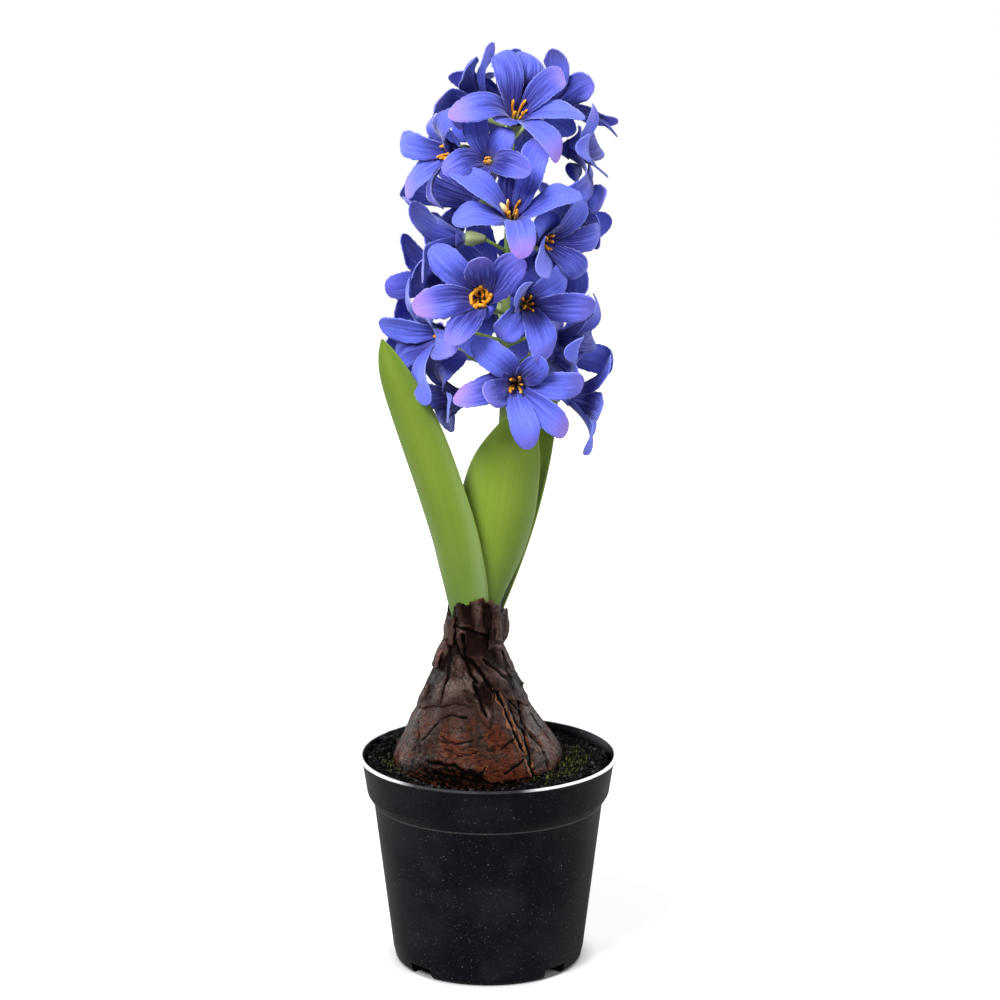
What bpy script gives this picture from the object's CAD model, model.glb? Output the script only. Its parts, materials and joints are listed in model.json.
import json
from bisect import bisect_right
from math import atan2, cos, degrees, exp, floor, hypot, pi, radians, sin, sqrt, tau

import bmesh
import bpy
from bpy.props import FloatProperty, FloatVectorProperty, IntProperty, PointerProperty
from mathutils import Matrix, Quaternion, Vector, noise
from mathutils.kdtree import KDTree

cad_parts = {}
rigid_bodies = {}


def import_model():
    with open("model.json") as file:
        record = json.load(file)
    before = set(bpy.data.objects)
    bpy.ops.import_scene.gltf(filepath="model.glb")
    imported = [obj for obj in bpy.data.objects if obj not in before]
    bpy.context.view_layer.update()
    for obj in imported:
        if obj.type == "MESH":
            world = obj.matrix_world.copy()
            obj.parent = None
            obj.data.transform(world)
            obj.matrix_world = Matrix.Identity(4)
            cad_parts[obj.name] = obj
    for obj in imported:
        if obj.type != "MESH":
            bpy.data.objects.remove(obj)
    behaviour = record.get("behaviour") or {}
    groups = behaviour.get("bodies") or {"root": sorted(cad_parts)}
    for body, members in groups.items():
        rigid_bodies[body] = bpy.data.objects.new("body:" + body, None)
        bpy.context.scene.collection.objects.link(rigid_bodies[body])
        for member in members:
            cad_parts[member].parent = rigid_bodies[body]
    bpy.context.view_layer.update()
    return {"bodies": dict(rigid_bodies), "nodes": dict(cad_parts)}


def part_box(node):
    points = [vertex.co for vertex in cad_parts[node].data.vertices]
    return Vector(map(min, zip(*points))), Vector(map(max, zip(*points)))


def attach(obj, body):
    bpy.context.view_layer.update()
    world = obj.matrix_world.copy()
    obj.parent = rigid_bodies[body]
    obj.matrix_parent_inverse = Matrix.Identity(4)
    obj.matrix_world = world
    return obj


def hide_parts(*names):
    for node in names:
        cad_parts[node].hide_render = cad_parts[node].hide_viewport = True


bl_info = {
    "name": "Potted hyacinth",
    "version": (1, 0, 0),
    "blender": (4, 5, 0),
    "location": "View3D > Sidebar > Hyacinth",
    "description": "Fabric florets, leaves, stem, bulb, soil and pot of a potted hyacinth",
    "category": "Object",
}

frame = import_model()
BODY = next(iter(frame["bodies"]))

# Shapes are worked out in millimetres and made into metres once a piece is whole
MM = 0.001


def box_mm(node):
    """A CAD node's lowest and highest corner, in millimetres."""
    low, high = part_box(node)
    return low / MM, high / MM


# Sizes that the frame gives

POT_HEIGHT = box_mm("pot")[1].z
RIM_RADIUS = box_mm("pot")[1].x
SOIL_LOW = box_mm("soil")[0].z
SOIL_TOP = box_mm("soil")[1].z
BULB_FOOT = box_mm("bulb")[0].z
NECK_TOP = box_mm("bulb")[1].z
BULB_X = round((box_mm("bulb")[0].x + box_mm("bulb")[1].x) / 2, 1)

# The pot's section

BAND_TOP_RADIUS = 43.8
BAND_FOOT_RADIUS = 42.1
BAND_FOOT_HEIGHT = 60.6
WALL_TOP_RADIUS = 39.8
WALL_TOP_HEIGHT = 57.2
FOOT_RADIUS = 32.6
LIP_HEIGHT = 1.2
WALL = 1.2
FLOOR_HEIGHT = 3.2
DRAIN_COUNT = 4
DRAIN_WIDTH = 9.4
DRAIN_HEIGHT = 3.8
DRAIN_REACH = 5

# The bulb's outline as height and radius
BULB_PROFILE = [
    (BULB_FOOT, 9), (54, 17), (58, 24), (64, 28.2), (70, 29.3), (74.6, 28.6), (79.3, 26.1), (85.5, 22.8),
    (91.6, 19.3), (97, 16.4), (103.4, 13.3), (108, 11), (113, 9), (NECK_TOP, 8.7),
]
EVEN_ROWS_FROM = 68  # the bulb's rows lie evenly above this height
NECK_HOLLOW = 7.8
NECK_FLOOR = 104

# The skin's torn lower and upper edges as azimuth and height
SKIN_FOOT = [
    (-200, 94), (-165, 92), (-140, 95), (-112, 91.5), (-80, 91), (-57, 93), (-35, 95), (-17, 96), (1, 95.5),
    (7, 93), (12, 90), (16, 88), (20, 91.5), (25, 97), (31, 100.5), (38, 99.5), (47, 96), (58, 95), (75, 92),
    (100, 95), (125, 91), (160, 94), (195, 92),
]
SKIN_TOP = [
    (-200, 126), (-165, 124), (-140, 127), (-112, 124), (-86, 122), (-60, 121.5), (-52, 129), (-30, 129.8),
    (-8, 130.4), (16, 132), (20, 129.6), (29, 130.8), (38, 129.5), (56, 128), (75, 126), (92, 124.5),
    (120, 127), (160, 126), (195, 124),
]
SKIN_REST = 0.85  # how far the skin's middle face lies off the bulb
SKIN_THICKNESS = 0.4
PEEL_FOLD = 11  # how broad the flats of the crumpled peel and skin are
CRUMPLE = 9
FINE_CRUMPLE = 4.4

STEM_PATH = [
    (-4, 0, 104.3), (-3.6, 0, 126), (1.2, 0, 158), (5, 0, 190), (5.8, 0, 220), (6.8, 0, 250), (7.4, 0, 283),
    (7.8, 0, 292),
]
STEM_TOP = 289
CALYX_LENGTH = 7.5

PETAL_LENGTH = 22
PETAL_WIDTH = 10
PETAL_COUNT = 6
PETAL_ROOM = 6.5  # how many petals a throat has room for at their full width
PETAL_TWIST = 16
TIP_CURL = 22
TIP_CURL_SPREAD = 28
HIDDEN_TURN_SPREAD = 8
HIDDEN_LIFT_SPREAD = 22
PETAL_SHELL = 0.35  # half of the CAD sheet's thickness
CAD_REACH = 6  # a petal whose best bend misses the CAD one by more stays unbent
ROOT_LIFTS = (48, 56)
PETAL_ROOT = 0.42  # half width at the root as a share of the widest
PETAL_SHOULDER = 0.62  # where a petal is widest as a share of its length
SIDE_CREASE = 0.4  # where the two side creases run as a share of the half width
CREASE_SPREAD = 0.12
THROAT_RADIUS = 1.5
ROOT_RISE = 0.3
STAMEN_COUNT = 6
FILAMENT_STEPS = 6

# How the pressed fabric petals differ from the plain CAD ones: by how many degrees they leave the throat more
# steeply, how much stronger their twist is and how much longer they are
PRESSED_STEEPER = 13
PRESSED_TWIST = 1.78
PRESSED_LENGTH = 1.052

# Each floret: the middle of its throat, the azimuth it faces (0 is the front, 90 the right), its lift and its
# size. Then its petals, each with its turn round the throat (0 to the right, 90 up) and the lift of its tip.
# A third number is its share of the usual length, a fourth an extra twist at its tip. Hidden florets give the
# first turn, the usual lift and how much larger their petals are, so that they fill the head.
FLORETS = [
    ((9.4, -10, 294.6), 12, 40, 1.08,
     [(-25, -15), (32, -12), (75, 2, 0.95), (106, 4), (187, -20, 1.16), (236, 50, 0.6), (276, -30, 1.08)]),
    ((8.1, -15.5, 262.7), 4, 36, 1.08,
     [(8, -10, 1, -38), (54, 0, 1.2), (108, 5), (154, -8, 1.15), (195, -20, 0.95, 42), (278, -20)]),
    ((-1.9, -17, 235.6), -6, 18, 1.1,
     [(40, 0, 0.85, 30), (88, 55, 0.8), (136, -5), (193, -22, 1.08), (235, 20, 0.9), (300, -10, 0.5)]),
    ((12.3, -15, 233.8), 15, 8, 1.08,
     [(-6, -3), (38, -55, 0.9, 30), (105, 22), (165, 25), (225, -35, 0.7), (282, -8)]),
    ((9.5, -16, 207), 5, 5, 1.12,
     [(0, -40), (48, 35, 0.7), (121, -8), (176, -18, 1.1, 25), (192, 62, 0.85), (268, -3), (294, -20, 1.05)]),
    ((0.6, -14, 281), -20, 28, 0.95, [(-20, -10), (42, 0), (108, -5), (208, 50, 0.85), (268, 40, 0.85)]),
    ((17.7, -13, 255), 40, -5, 1, [(8, -15), (52, -25), (112, -20), (180, 20), (250, -10), (315, -10)]),
    ((-9.5, -7, 283.4), -62, 2, 1.02,
     [(-10, -40, 0.6), (55, -20), (115, -5, 0.75), (172, 5), (228, 0), (285, -12)]),
    ((-14, -7, 223), -60, -5, 1.05,
     [(0, -15), (60, -25), (115, -10), (170, 15), (215, 5, 0.85), (302, -8, 1.25)]),
    ((24.6, 0, 283.6), 82, 2, 1,
     [(0, -10), (60, -10, 0.8), (120, -10, 0.75), (172, -40, 1.1), (218, -55, 1.3), (275, 70, 0.72)]),
    ((-8, -2, 254), -95, 0, 1.08, [(-20, 0), (42, 12), (92, 55), (150, -5), (205, -10, 0.75), (268, 12)]),
    ((22, -5, 220.7), 78, -8, 1.02, [(0, 0), (60, 5), (120, -10), (180, -20), (240, -10), (300, -10, 0.8)]),
    ((-14.6, 9, 213.5), -118, 0, 1,
     [(0, -3, 1.12), (66, 3, 1.12), (126, -9, 1.12), (203, -5, 1.4), (246, -20, 1.3), (297, 2, 1.15)]),
    ((25.4, -2, 200.5), 92, -10, 1, [(0, -10), (60, 5), (120, 0), (180, -10), (240, 5), (300, 5)]),
    ((-7, -3, 200), -68, -2, 1,
     [(0, 8, 1.1), (52, -40, 1.3), (108, -45, 1.3), (180, 0), (235, 10, 0.65), (300, 20, 0.6)]),
    ((0.2, 7, 295.4), -112, 35, 1, [(-10, 0), (50, 0), (105, 5), (165, -15), (225, -20), (290, -5)]),
    ((17.8, 8, 295.3), 122, 32, 1,
     [(-5, -20), (60, -15), (115, 0), (175, -5), (238, -10, 1.25), (282, -12, 1.35)]),
    ((24.6, 6, 266.5), 98, 0, 0.98, [(0, -20), (60, -10), (120, -15), (175, -10), (230, -5), (300, -30)]),
    ((-12, 8, 237.5), -120, 5, 1.02, [(-10, 5), (50, 0), (105, 20), (170, -15), (230, -15), (295, 0)]),
    ((8.4, 12.5, 290), 178, 30, 1, (30, -15, 1.3)),
    ((-1.7, 16, 263), -155, 5, 1, (10, -15, 1.4)),
    ((18, 15.5, 250), 145, 0, 1, (0, -15, 1.2)),
    ((3, 17, 228), -175, 0, 1, (0, -20, 1.4)),
    ((19, 14, 212), 140, -5, 1, (0, -15, 1.15)),
]
# Petals that lie otherwise than the CAD ones, by floret
FREE_PETALS = {8: (5,), 9: (3, 4), 12: (3, 4), 14: range(6), 22: range(6)}
RING_FLORET = 2  # the floret whose stamens are curled into a ring
STUB_FLORET = 1  # the floret with a pale folded stub beside its stamens
STUB_TURN = 160
STUB_LINE = [(0.8, 0.5), (2.2, 3), (3.6, 4.9), (5.2, 6.4)]  # how far out and up it runs
STUB_RADII = [0.6, 1, 1.35, 1.1]
SHORT_STAMENS = {5: 0.4, 8: 0.6}  # florets whose stamens stay down in the throat, and how tall they are

# Petals with a lilac tip, by floret, and how strong it is. The others get a faint one by a seeded draw.
LILAC_TIPS = {
    0: {1: 0.7, 3: 0, 4: 0.6, 6: 0.9}, 1: {5: 1}, 2: {3: 0.9}, 3: {5: 0.3}, 4: {3: 0.8, 5: 0.2, 6: 0.9},
    5: {4: 1}, 6: {4: 1}, 7: {4: 0.6, 5: 0.4}, 11: {4: 0.9},
}

# How a CAD petal may be bent to keep clear of its neighbours: share of its length, curl and sway
BENDS = [
    (length, curl, sway)
    for length in (1, 0.85, 0.7, 0.5)
    for curl in (0, -12, 12, -26, 26, -42, 42, 60)
    for sway in (0, -10, 10, -22, 22)
]

# Leaves: the middle line, which way the blade's back faces at its foot and tip, its widths by share of its
# length, and the radius that it is hollowed to at foot and tip
LEAVES = {
    "leaf_left": {
        "path": [(-8, -4.9, 105.5), (-8.3, -5.1, 117), (-9.6, -6.6, 127), (-12, -9, 150), (-16, -11.5, 167),
                 (-23.9, -15.5, 192), (-31.5, -19, 212), (-35, -20.5, 223)],
        "outward": ((-0.62, -0.78, 0), (-0.35, -1, 0.1)),
        "widths": [(0, 9), (0.1, 14), (0.17, 20.5), (0.37, 20), (0.5, 18.8), (0.73, 16.4), (0.9, 10.5),
                   (1, 2.5)],
        "hollow": (7.1, 26),
    },
    "leaf_middle": {
        "path": [(-2.4, -3.6, 105.5), (-0.3, -4.9, 127), (2.7, -6.8, 145), (4.5, -8.3, 160), (6.4, -9.4, 175),
                 (10, -10.2, 189), (13.5, -10.5, 200)],
        "outward": ((0.5, -0.85, 0), (0.1, -1, 0.1)),
        "widths": [(0, 6), (0.2, 14.5), (0.42, 26.5), (0.6, 29.5), (0.75, 25.5), (0.88, 15.5), (1, 3)],
        "hollow": (4.6, 20),
    },
    "leaf_back": {
        "path": [(-3, 5.6, 105.5), (-2.3, 5.5, 117), (0.6, 5.8, 127), (6.4, 8.4, 145), (11, 10.8, 160),
                 (15, 12.7, 175), (19.5, 14, 192), (23, 14.5, 204)],
        "outward": ((0.4, 0.92, 0), (0.5, 0.87, 0.1)),
        "widths": [(0, 9), (0.2, 14), (0.45, 16), (0.7, 15), (0.88, 10), (1, 2.5)],
        "hollow": (7, 24),
    },
}
LEAF_TIP = 0.955  # where a leaf's end starts to round off

# Creases on the bulb and its papery skin: depth, half width, how orange the torn edges beside it are, then
# azimuth (0 is the front, + the right) and height of each point, in degrees and millimetres
BULB_CREASES = [
    (1, 0.8, 1, [(30, 102), (37, 95), (39, 88), (40, 82), (41, 76), (43, 71)]),
    (0.9, 1.1, 0.2, [(63, 95), (53, 88), (47, 82), (42, 76)]),
    (0.7, 0.8, 0.3, [(49, 96), (57, 91), (54, 86), (60, 80), (58, 72)]),
    (0.6, 0.9, 0.1, [(45, 95), (46, 89), (50, 85), (45, 79)]),
    (0.6, 0.6, 0.1, [(72, 90), (78, 84), (80, 76)]),
    (0.8, 0.8, 0.3, [(-36, 77), (-25, 77.4), (-14, 77), (-3, 74.5), (4, 72)]),
    (0.7, 0.8, 0.2, [(-30, 74.4), (-20, 73.4), (-10, 73.6), (0, 72)]),
    (0.5, 0.7, 0.2, [(-12, 72), (-4, 76), (4, 73), (10, 71)]),
    (0.5, 0.6, 0.1, [(21, 74), (32, 76.4), (42, 78.2), (51, 79.7)]),
    (0.4, 0.4, 0.9, [(-3, 72), (4, 74.5), (8, 77.5)]),
    (0.45, 0.5, 0.1, [(23, 81.6), (33, 83.6), (40, 85.5)]),
    (0.5, 0.5, 0, [(-46, 83), (-37, 88), (-33, 91), (-21, 92.4), (-5, 91.5)]),
    (0.35, 0.5, 0, [(-60, 88), (-52, 84), (-44, 79)]),
    (0.3, 0.4, 0, [(-28, 86), (-14, 84), (2, 85)]),
    (0.3, 0.4, 0, [(-24, 82), (-10, 80), (4, 81.5)]),
    (0.5, 0.6, 0.1, [(-95, 90), (-88, 82), (-84, 74)]),
    (0.7, 0.8, 0.6, [(-140, 94), (-132, 84), (-136, 74)]),
    (0.5, 0.6, 0.1, [(-118, 86), (-126, 79), (-116, 73)]),
    (0.8, 0.9, 0.4, [(160, 92), (168, 82), (163, 73)]),
    (0.5, 0.5, 0.1, [(120, 90), (112, 80), (118, 73)]),
    (0.6, 0.8, 0.2, [(-178, 79), (-160, 77), (-146, 79)]),
    (0.5, 0.6, 0, [(100, 92), (96, 84), (101, 76)]),
]
SKIN_CREASES = [
    (0.9, 0.7, 0, [(-62, 122), (-29, 120.5), (12, 119), (40, 116), (75, 113)]),
    (0.9, 0.9, 0, [(-50, 116), (-26, 113), (-8, 108), (5, 103)]),
    (1.2, 0.9, 0, [(-62, 115), (-40, 109), (-35, 103), (-36, 96)]),
    (1, 0.9, 0, [(-27, 118), (-14, 111), (9, 107), (23, 102), (34, 97)]),
    (0.7, 0.7, 0, [(-90, 118), (-80, 108), (-84, 98)]),
    (0.9, 0.7, 0, [(1, 103), (9, 98), (14, 92)]),
    (0.7, 0.7, 0, [(20, 110), (40, 106), (62, 100)]),
    (0.9, 0.9, 0, [(95, 120), (104, 108), (98, 97)]),
    (0.9, 0.9, 0, [(140, 118), (133, 106), (146, 95)]),
    (0.9, 0.9, 0, [(-120, 119), (-128, 108), (-118, 96)]),
    (0.9, 0.9, 0, [(-168, 121), (-160, 108), (-172, 95)]),
    (0.7, 0.7, 0, [(-150, 112), (-120, 109), (-90, 112)]),
    (0.7, 0.7, 0, [(110, 113), (140, 109), (175, 113)]),
]

# Loose torn flaps of the skin: azimuth, height of the foot, width, length, how far the end stands off and how
# red it is
FLAPS = [
    (-78, 105.5, 8, 9, 1.3, 0.9), (-66, 114, 9, 10, 0.6, 0.1), (58, 113, 10, 12.5, 0.3, 0),
    (86, 104, 9, 10, 0.5, 0.2), (-132, 112, 11, 14, 0.9, 0), (150, 110, 12, 15, 0.8, 0.2),
]

HEAP_X, HEAP_Y = -34, 19  # crumbs heaped against the pot's wall at the back left
HEAP_SPREAD = 2.5
HEAP_CRUMB = 1.4

# The studio, in metres
PLANT_MIDDLE = (0, 0, 0.17)
BULB_MIDDLE = (0, 0, 0.12)
CAMERA_AT = (0.0041, -1.1, 0.4136)
CAMERA_PITCH = 12.8  # degrees that the camera looks down
CAMERA_LENS = 118.9
CAMERA_SENSOR = 36
FLOOR_REACH = 1.3

# Each light: its place, what it is turned to, its width and height, the setting that gives its power and what
# share of it, and whether it only gives a sheen
LIGHTS = {
    "key": ((-0.6, -0.85, 1.15), PLANT_MIDDLE, (0.55, 0.55), "key", 1, False),
    "fill": ((0.95, -0.55, 0.7), PLANT_MIDDLE, (0.5, 0.7), "key", 0.28, False),
    "back_left": ((-0.9, 0.8, 0.6), PLANT_MIDDLE, (0.5, 1), "back", 1, False),
    "back_right": ((0.9, 0.8, 0.6), PLANT_MIDDLE, (0.5, 1), "back", 1, False),
    # The bright room beside the plant, seen only as a sheen along its outline
    "sheen_left": ((-0.8, 0.35, 0.3), BULB_MIDDLE, (0.5, 0.8), "sheen", 1, True),
    "sheen_right": ((0.8, 0.35, 0.3), BULB_MIDDLE, (0.5, 0.8), "sheen", 1, True),
}


# Small tools

def draw(n):
    """A repeatable draw between -1 and 1 for the number n."""
    x = sin(n * 12.9898 + 4.1414) * 43758.5453
    return 2 * (x - floor(x)) - 1


def mix(a, b, share):
    return a + (b - a) * share


def smooth(share):
    x = min(1, max(0, share))
    return x * x * (3 - 2 * x)


def along(points, x):
    """The value at x on the bent line through (x, value) points."""
    if x <= points[0][0]:
        return points[0][1]
    for (x0, y0), (x1, y1) in zip(points, points[1:]):
        if x <= x1:
            return mix(y0, y1, (x - x0) / (x1 - x0))
    return points[-1][1]


def eased(points, x):
    """The value at x on a smooth curve through (x, value) points."""
    last = len(points) - 1
    i = min(max(bisect_right([p[0] for p in points], x) - 1, 0), last - 1)
    (x1, y1), (x2, y2) = points[i], points[i + 1]
    x0, y0 = points[i - 1] if i else (2 * x1 - x2, 2 * y1 - y2)
    x3, y3 = points[i + 2] if i + 2 <= last else (2 * x2 - x1, 2 * y2 - y1)
    slope1 = (y2 - y0) / (x2 - x0)
    slope2 = (y3 - y1) / (x3 - x1)
    w = min(1, max(0, (x - x1) / (x2 - x1)))
    run = x2 - x1
    return (
        y1 * (1 + 2 * w) * (1 - w) ** 2 + y2 * w * w * (3 - 2 * w)
        + run * slope1 * w * (1 - w) ** 2 - run * slope2 * w * w * (1 - w)
    )


class Path:
    """A smooth curve through points, measured by its length."""

    def __init__(self, points, samples=200):
        self.points = [Vector(p) for p in points]
        self.spots = [self.spot(i / samples) for i in range(samples + 1)]
        self.lengths = [0.0]
        for a, b in zip(self.spots, self.spots[1:]):
            self.lengths.append(self.lengths[-1] + (b - a).length)

    def spot(self, u):
        """The point at a share of the way through the given points."""
        last = len(self.points) - 1
        i = min(int(u * last), last - 1)
        w = u * last - i
        p1, p2 = self.points[i], self.points[i + 1]
        p0 = self.points[i - 1] if i else 2 * p1 - p2
        p3 = self.points[i + 2] if i + 2 <= last else 2 * p2 - p1
        d0, d1, d2 = (sqrt((b - a).length) for a, b in ((p0, p1), (p1, p2), (p2, p3)))
        t1 = ((p1 - p0) / d0 - (p2 - p0) / (d0 + d1) + (p2 - p1) / d1) * d1
        t2 = ((p2 - p1) / d1 - (p3 - p1) / (d1 + d2) + (p3 - p2) / d2) * d1
        return p1 + t1 * w + (3 * (p2 - p1) - 2 * t1 - t2) * w ** 2 + (2 * (p1 - p2) + t1 + t2) * w ** 3

    def at(self, share):
        """The point at a share of the length, and the way the curve runs there."""
        target = min(1, max(0, share)) * self.lengths[-1]
        i = min(bisect_right(self.lengths, target) - 1, len(self.spots) - 2)
        a, b = self.spots[i], self.spots[i + 1]
        w = (target - self.lengths[i]) / max(1e-9, self.lengths[i + 1] - self.lengths[i])
        return a.lerp(b, w), (b - a).normalized()


# Mesh tools

def add_tube(bm, points, radii, sides):
    """A round bar: a circle extruded from each point to the next."""
    start = (points[1] - points[0]).normalized()
    turn = start.to_track_quat("Z", "Y")
    place = Matrix.LocRotScale(points[0], turn, Vector((radii[0],) * 3))
    ring = bmesh.ops.create_circle(bm, cap_ends=True, segments=sides, radius=1, matrix=place)["verts"]
    edges = [e for e in bm.edges if e.verts[0] in set(ring) and e.verts[1] in set(ring)]
    before = start
    for i in range(1, len(points)):
        ahead = (points[min(i + 1, len(points) - 1)] - points[i - 1]).normalized()
        turn = before.rotation_difference(ahead) @ turn
        before = ahead
        new_place = Matrix.LocRotScale(points[i], turn, Vector((radii[i],) * 3))
        made = bmesh.ops.extrude_edge_only(bm, edges=edges)["geom"]
        ring = [g for g in made if isinstance(g, bmesh.types.BMVert)]
        edges = [g for g in made if isinstance(g, bmesh.types.BMEdge)
                 and g.verts[0] in set(ring) and g.verts[1] in set(ring)]
        bmesh.ops.transform(bm, matrix=new_place @ place.inverted(), verts=ring)
        place = new_place
    bmesh.ops.edgeloop_fill(bm, edges=edges)


def turned(profile, steps, close=True):
    """A bmesh spun round +Z from (radius, height) points."""
    bm = bmesh.new()
    verts = [bm.verts.new((radius, 0, height)) for radius, height in profile]
    edges = [bm.edges.new(pair) for pair in zip(verts, verts[1:])]
    bmesh.ops.spin(bm, geom=verts + edges, axis=(0, 0, 1), cent=(0, 0, 0), angle=tau, steps=steps,
                   use_merge=True)
    bmesh.ops.remove_doubles(bm, verts=bm.verts, dist=1e-4)
    if close:
        bmesh.ops.recalc_face_normals(bm, faces=bm.faces)
    return bm


def append(bm, other, matrix):
    """Moves another bmesh by the matrix and adds it to bm."""
    bmesh.ops.transform(other, matrix=matrix, verts=other.verts)
    mesh = bpy.data.meshes.new("part")
    other.to_mesh(mesh)
    other.free()
    bm.from_mesh(mesh)
    bpy.data.meshes.remove(mesh)


def as_mesh(bm, name):
    """Makes a mesh of a bmesh, scaled from millimetres to metres, and frees the bmesh."""
    mesh = bpy.data.meshes.new(name)
    bm.to_mesh(mesh)
    bm.free()
    mesh.transform(Matrix.Scale(MM, 4))
    return mesh


def map_onto(faces, uv_layer, places):
    """Gives the faces their place in a texture, from each vertex's share across and along."""
    for face in faces:
        for loop in face.loops:
            loop[uv_layer].uv = places[loop.vert]


def finished(bm, name, material, replaced=(), shape=None):
    """The bmesh, in millimetres, as a smooth piece that rides on the body."""
    mesh = as_mesh(bm, name)
    mesh.shade_smooth()
    mesh.materials.append(material)
    piece = bpy.data.objects.new(name, mesh)
    bpy.context.scene.collection.objects.link(piece)
    if shape:
        shape(piece)
    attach(piece, BODY)
    if replaced:
        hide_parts(*replaced)
    return piece


def thicken(piece, thickness, body_group=None, edge_share=1.0):
    """Gives a sheet its thickness, half to each side, thinner where it isn't in the body group."""
    solidify = piece.modifiers.new("Thickness", "SOLIDIFY")
    solidify.thickness = thickness
    solidify.offset = 0
    solidify.use_quality_normals = True
    if body_group:
        piece.vertex_groups.new(name=body_group)
        solidify.vertex_group = body_group
        solidify.thickness_vertex_group = edge_share


# Material tools

class Finish:
    """A material with one shader, and short ways to add nodes in front of it."""

    def __init__(self, name, **values):
        self.material = bpy.data.materials.new(name)
        self.material.use_nodes = True
        self.tree = self.material.node_tree
        self.shader = next(n for n in self.tree.nodes if n.type == "BSDF_PRINCIPLED")
        for socket, value in values.items():
            self.shader.inputs[socket.replace("_", " ")].default_value = value

    def add(self, kind, sockets=(), output=0, **settings):
        """Adds a node, sets its options and sockets, and gives one of its outputs."""
        node = self.tree.nodes.new("ShaderNode" + kind)
        for key, value in settings.items():
            setattr(node, key, value)
        for socket, value in dict(sockets).items():
            if isinstance(value, bpy.types.NodeSocket):
                self.tree.links.new(value, node.inputs[socket])
            else:
                node.inputs[socket].default_value = value
        return node.outputs[output]

    def place(self, scale=(1, 1, 1)):
        """Object coordinates in millimetres, stretched by a scale."""
        objects = self.add("TexCoord", output="Object")
        return self.add("Mapping", {"Vector": objects, "Scale": [s / MM for s in scale]})

    def uv(self, layer, scale=(1, 1, 1)):
        return self.add("Mapping", {"Vector": self.add("UVMap", uv_map=layer), "Scale": scale})

    def value(self, name):
        return self.add("Attribute", attribute_name=name, output="Fac")

    def noise(self, vector, scale=1.0, detail=3.0, roughness=0.5, distortion=0.0):
        return self.add("TexNoise", {"Vector": vector, "Scale": scale, "Detail": detail,
                                     "Roughness": roughness, "Distortion": distortion})

    def cracks(self, vector, bend, width):
        """Crooked cell edges: 1 on a line, 0 where it is farther than the width."""
        crooked = self.add("VectorMath", {0: self.noise(vector, 1.7, 3, 0.6).node.outputs["Color"],
                                          1: (bend, bend, bend), 2: vector}, operation="MULTIPLY_ADD")
        away = self.add("TexVoronoi", {"Vector": crooked, "Scale": 1}, "Distance", feature="DISTANCE_TO_EDGE")
        return self.span(away, 0.0, width, 1.0, 0.0)

    def axis(self, vector, letter):
        """One of a vector's three numbers: X, Y or Z."""
        return self.add("SeparateXYZ", {"Vector": vector}, letter)

    def math(self, operation, first, *others, clamp=False):
        """The first value with each of the others added, multiplied or the like in turn."""
        for other in others or (0.0,):
            first = self.add("Math", {0: first, 1: other}, operation=operation, use_clamp=clamp)
        return first

    def span(self, value, low, high, to_low=0.0, to_high=1.0):
        """The value, smoothly stretched from one range to another."""
        return self.add("MapRange", {"Value": value, "From Min": low, "From Max": high, "To Min": to_low,
                                     "To Max": to_high}, interpolation_type="SMOOTHSTEP")

    def mixed(self, share, a, b):
        """Two colours mixed. Colours are given as three numbers or as a socket."""
        node = self.tree.nodes.new("ShaderNodeMix")
        node.data_type = "RGBA"
        for socket, value in zip((node.inputs[0], node.inputs[6], node.inputs[7]), (share, a, b)):
            if isinstance(value, bpy.types.NodeSocket):
                self.tree.links.new(value, socket)
            else:
                socket.default_value = value if isinstance(value, float) else (*value, 1)
        return node.outputs[2]

    def over(self, base, colour, value, low, high, strength=1.0):
        """Lays a colour over the base where the value passes from low to high."""
        return self.mixed(self.span(value, low, high, 0.0, strength), base, colour)

    def bump(self, height, distance, strength=1.0, below=None):
        """A bump of that depth in millimetres, over another one if it is given."""
        sockets = {"Height": height, "Distance": distance * MM, "Strength": strength}
        if below:
            sockets["Normal"] = below
        return self.add("Bump", sockets)

    def use(self, **sources):
        """Links sources to the shader's sockets and gives the material."""
        for socket, source in sources.items():
            self.tree.links.new(source, self.shader.inputs[socket.replace("_", " ")])
        return self.material


# Settings

def colour(name, description, rgb):
    return FloatVectorProperty(name=name, description=description, subtype="COLOR", size=3, min=0, max=1,
                               default=rgb)


def length(name, description, millimetres):
    return FloatProperty(name=name, description=description, unit="LENGTH", min=0, precision=5,
                         default=millimetres * MM)


class PetalSettings(bpy.types.PropertyGroup):
    thickness: length("Thickness", "Thickness of the petals' fabric", 0.35)
    crease: length("Crease depth", "Depth of the creases pressed along each petal", 0.45)
    ruffle: length("Ruffle", "Height of the waves along a petal's edges", 0.6)
    body: colour("Blue", "Main colour of the fabric", (0.11, 0.145, 0.74))
    deep: colour("Deep blue", "Colour near the throat", (0.013, 0.012, 0.15))
    edge: colour("Edge", "Colour of the frayed cut edges", (0.4, 0.46, 0.95))
    tip: colour("Lilac", "Colour of the tinted tips", (0.44, 0.24, 0.78))
    throat: colour("Throat", "Colour at the bottom of the throat", (0.5, 0.56, 0.42))


class StamenSettings(bpy.types.PropertyGroup):
    thread: length("Filament radius", "Radius of a stamen's filament", 0.38)
    body: colour("Yellow", "Colour of the anthers", (0.85, 0.4, 0.015))
    foot: colour("Foot", "Colour of the filaments' feet", (0.72, 0.62, 0.3))


class StemSettings(bpy.types.PropertyGroup):
    radius: length("Stem radius", "Radius of the flower stem", 1.35)
    stalk: length("Stalk radius", "Radius of each floret's stalk", 0.65)
    body: colour("Green", "Colour of the stem and stalks", (0.2, 0.3, 0.07))
    calyx: colour("Calyx", "Colour of the cups under the florets", (0.3, 0.35, 0.16))


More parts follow.
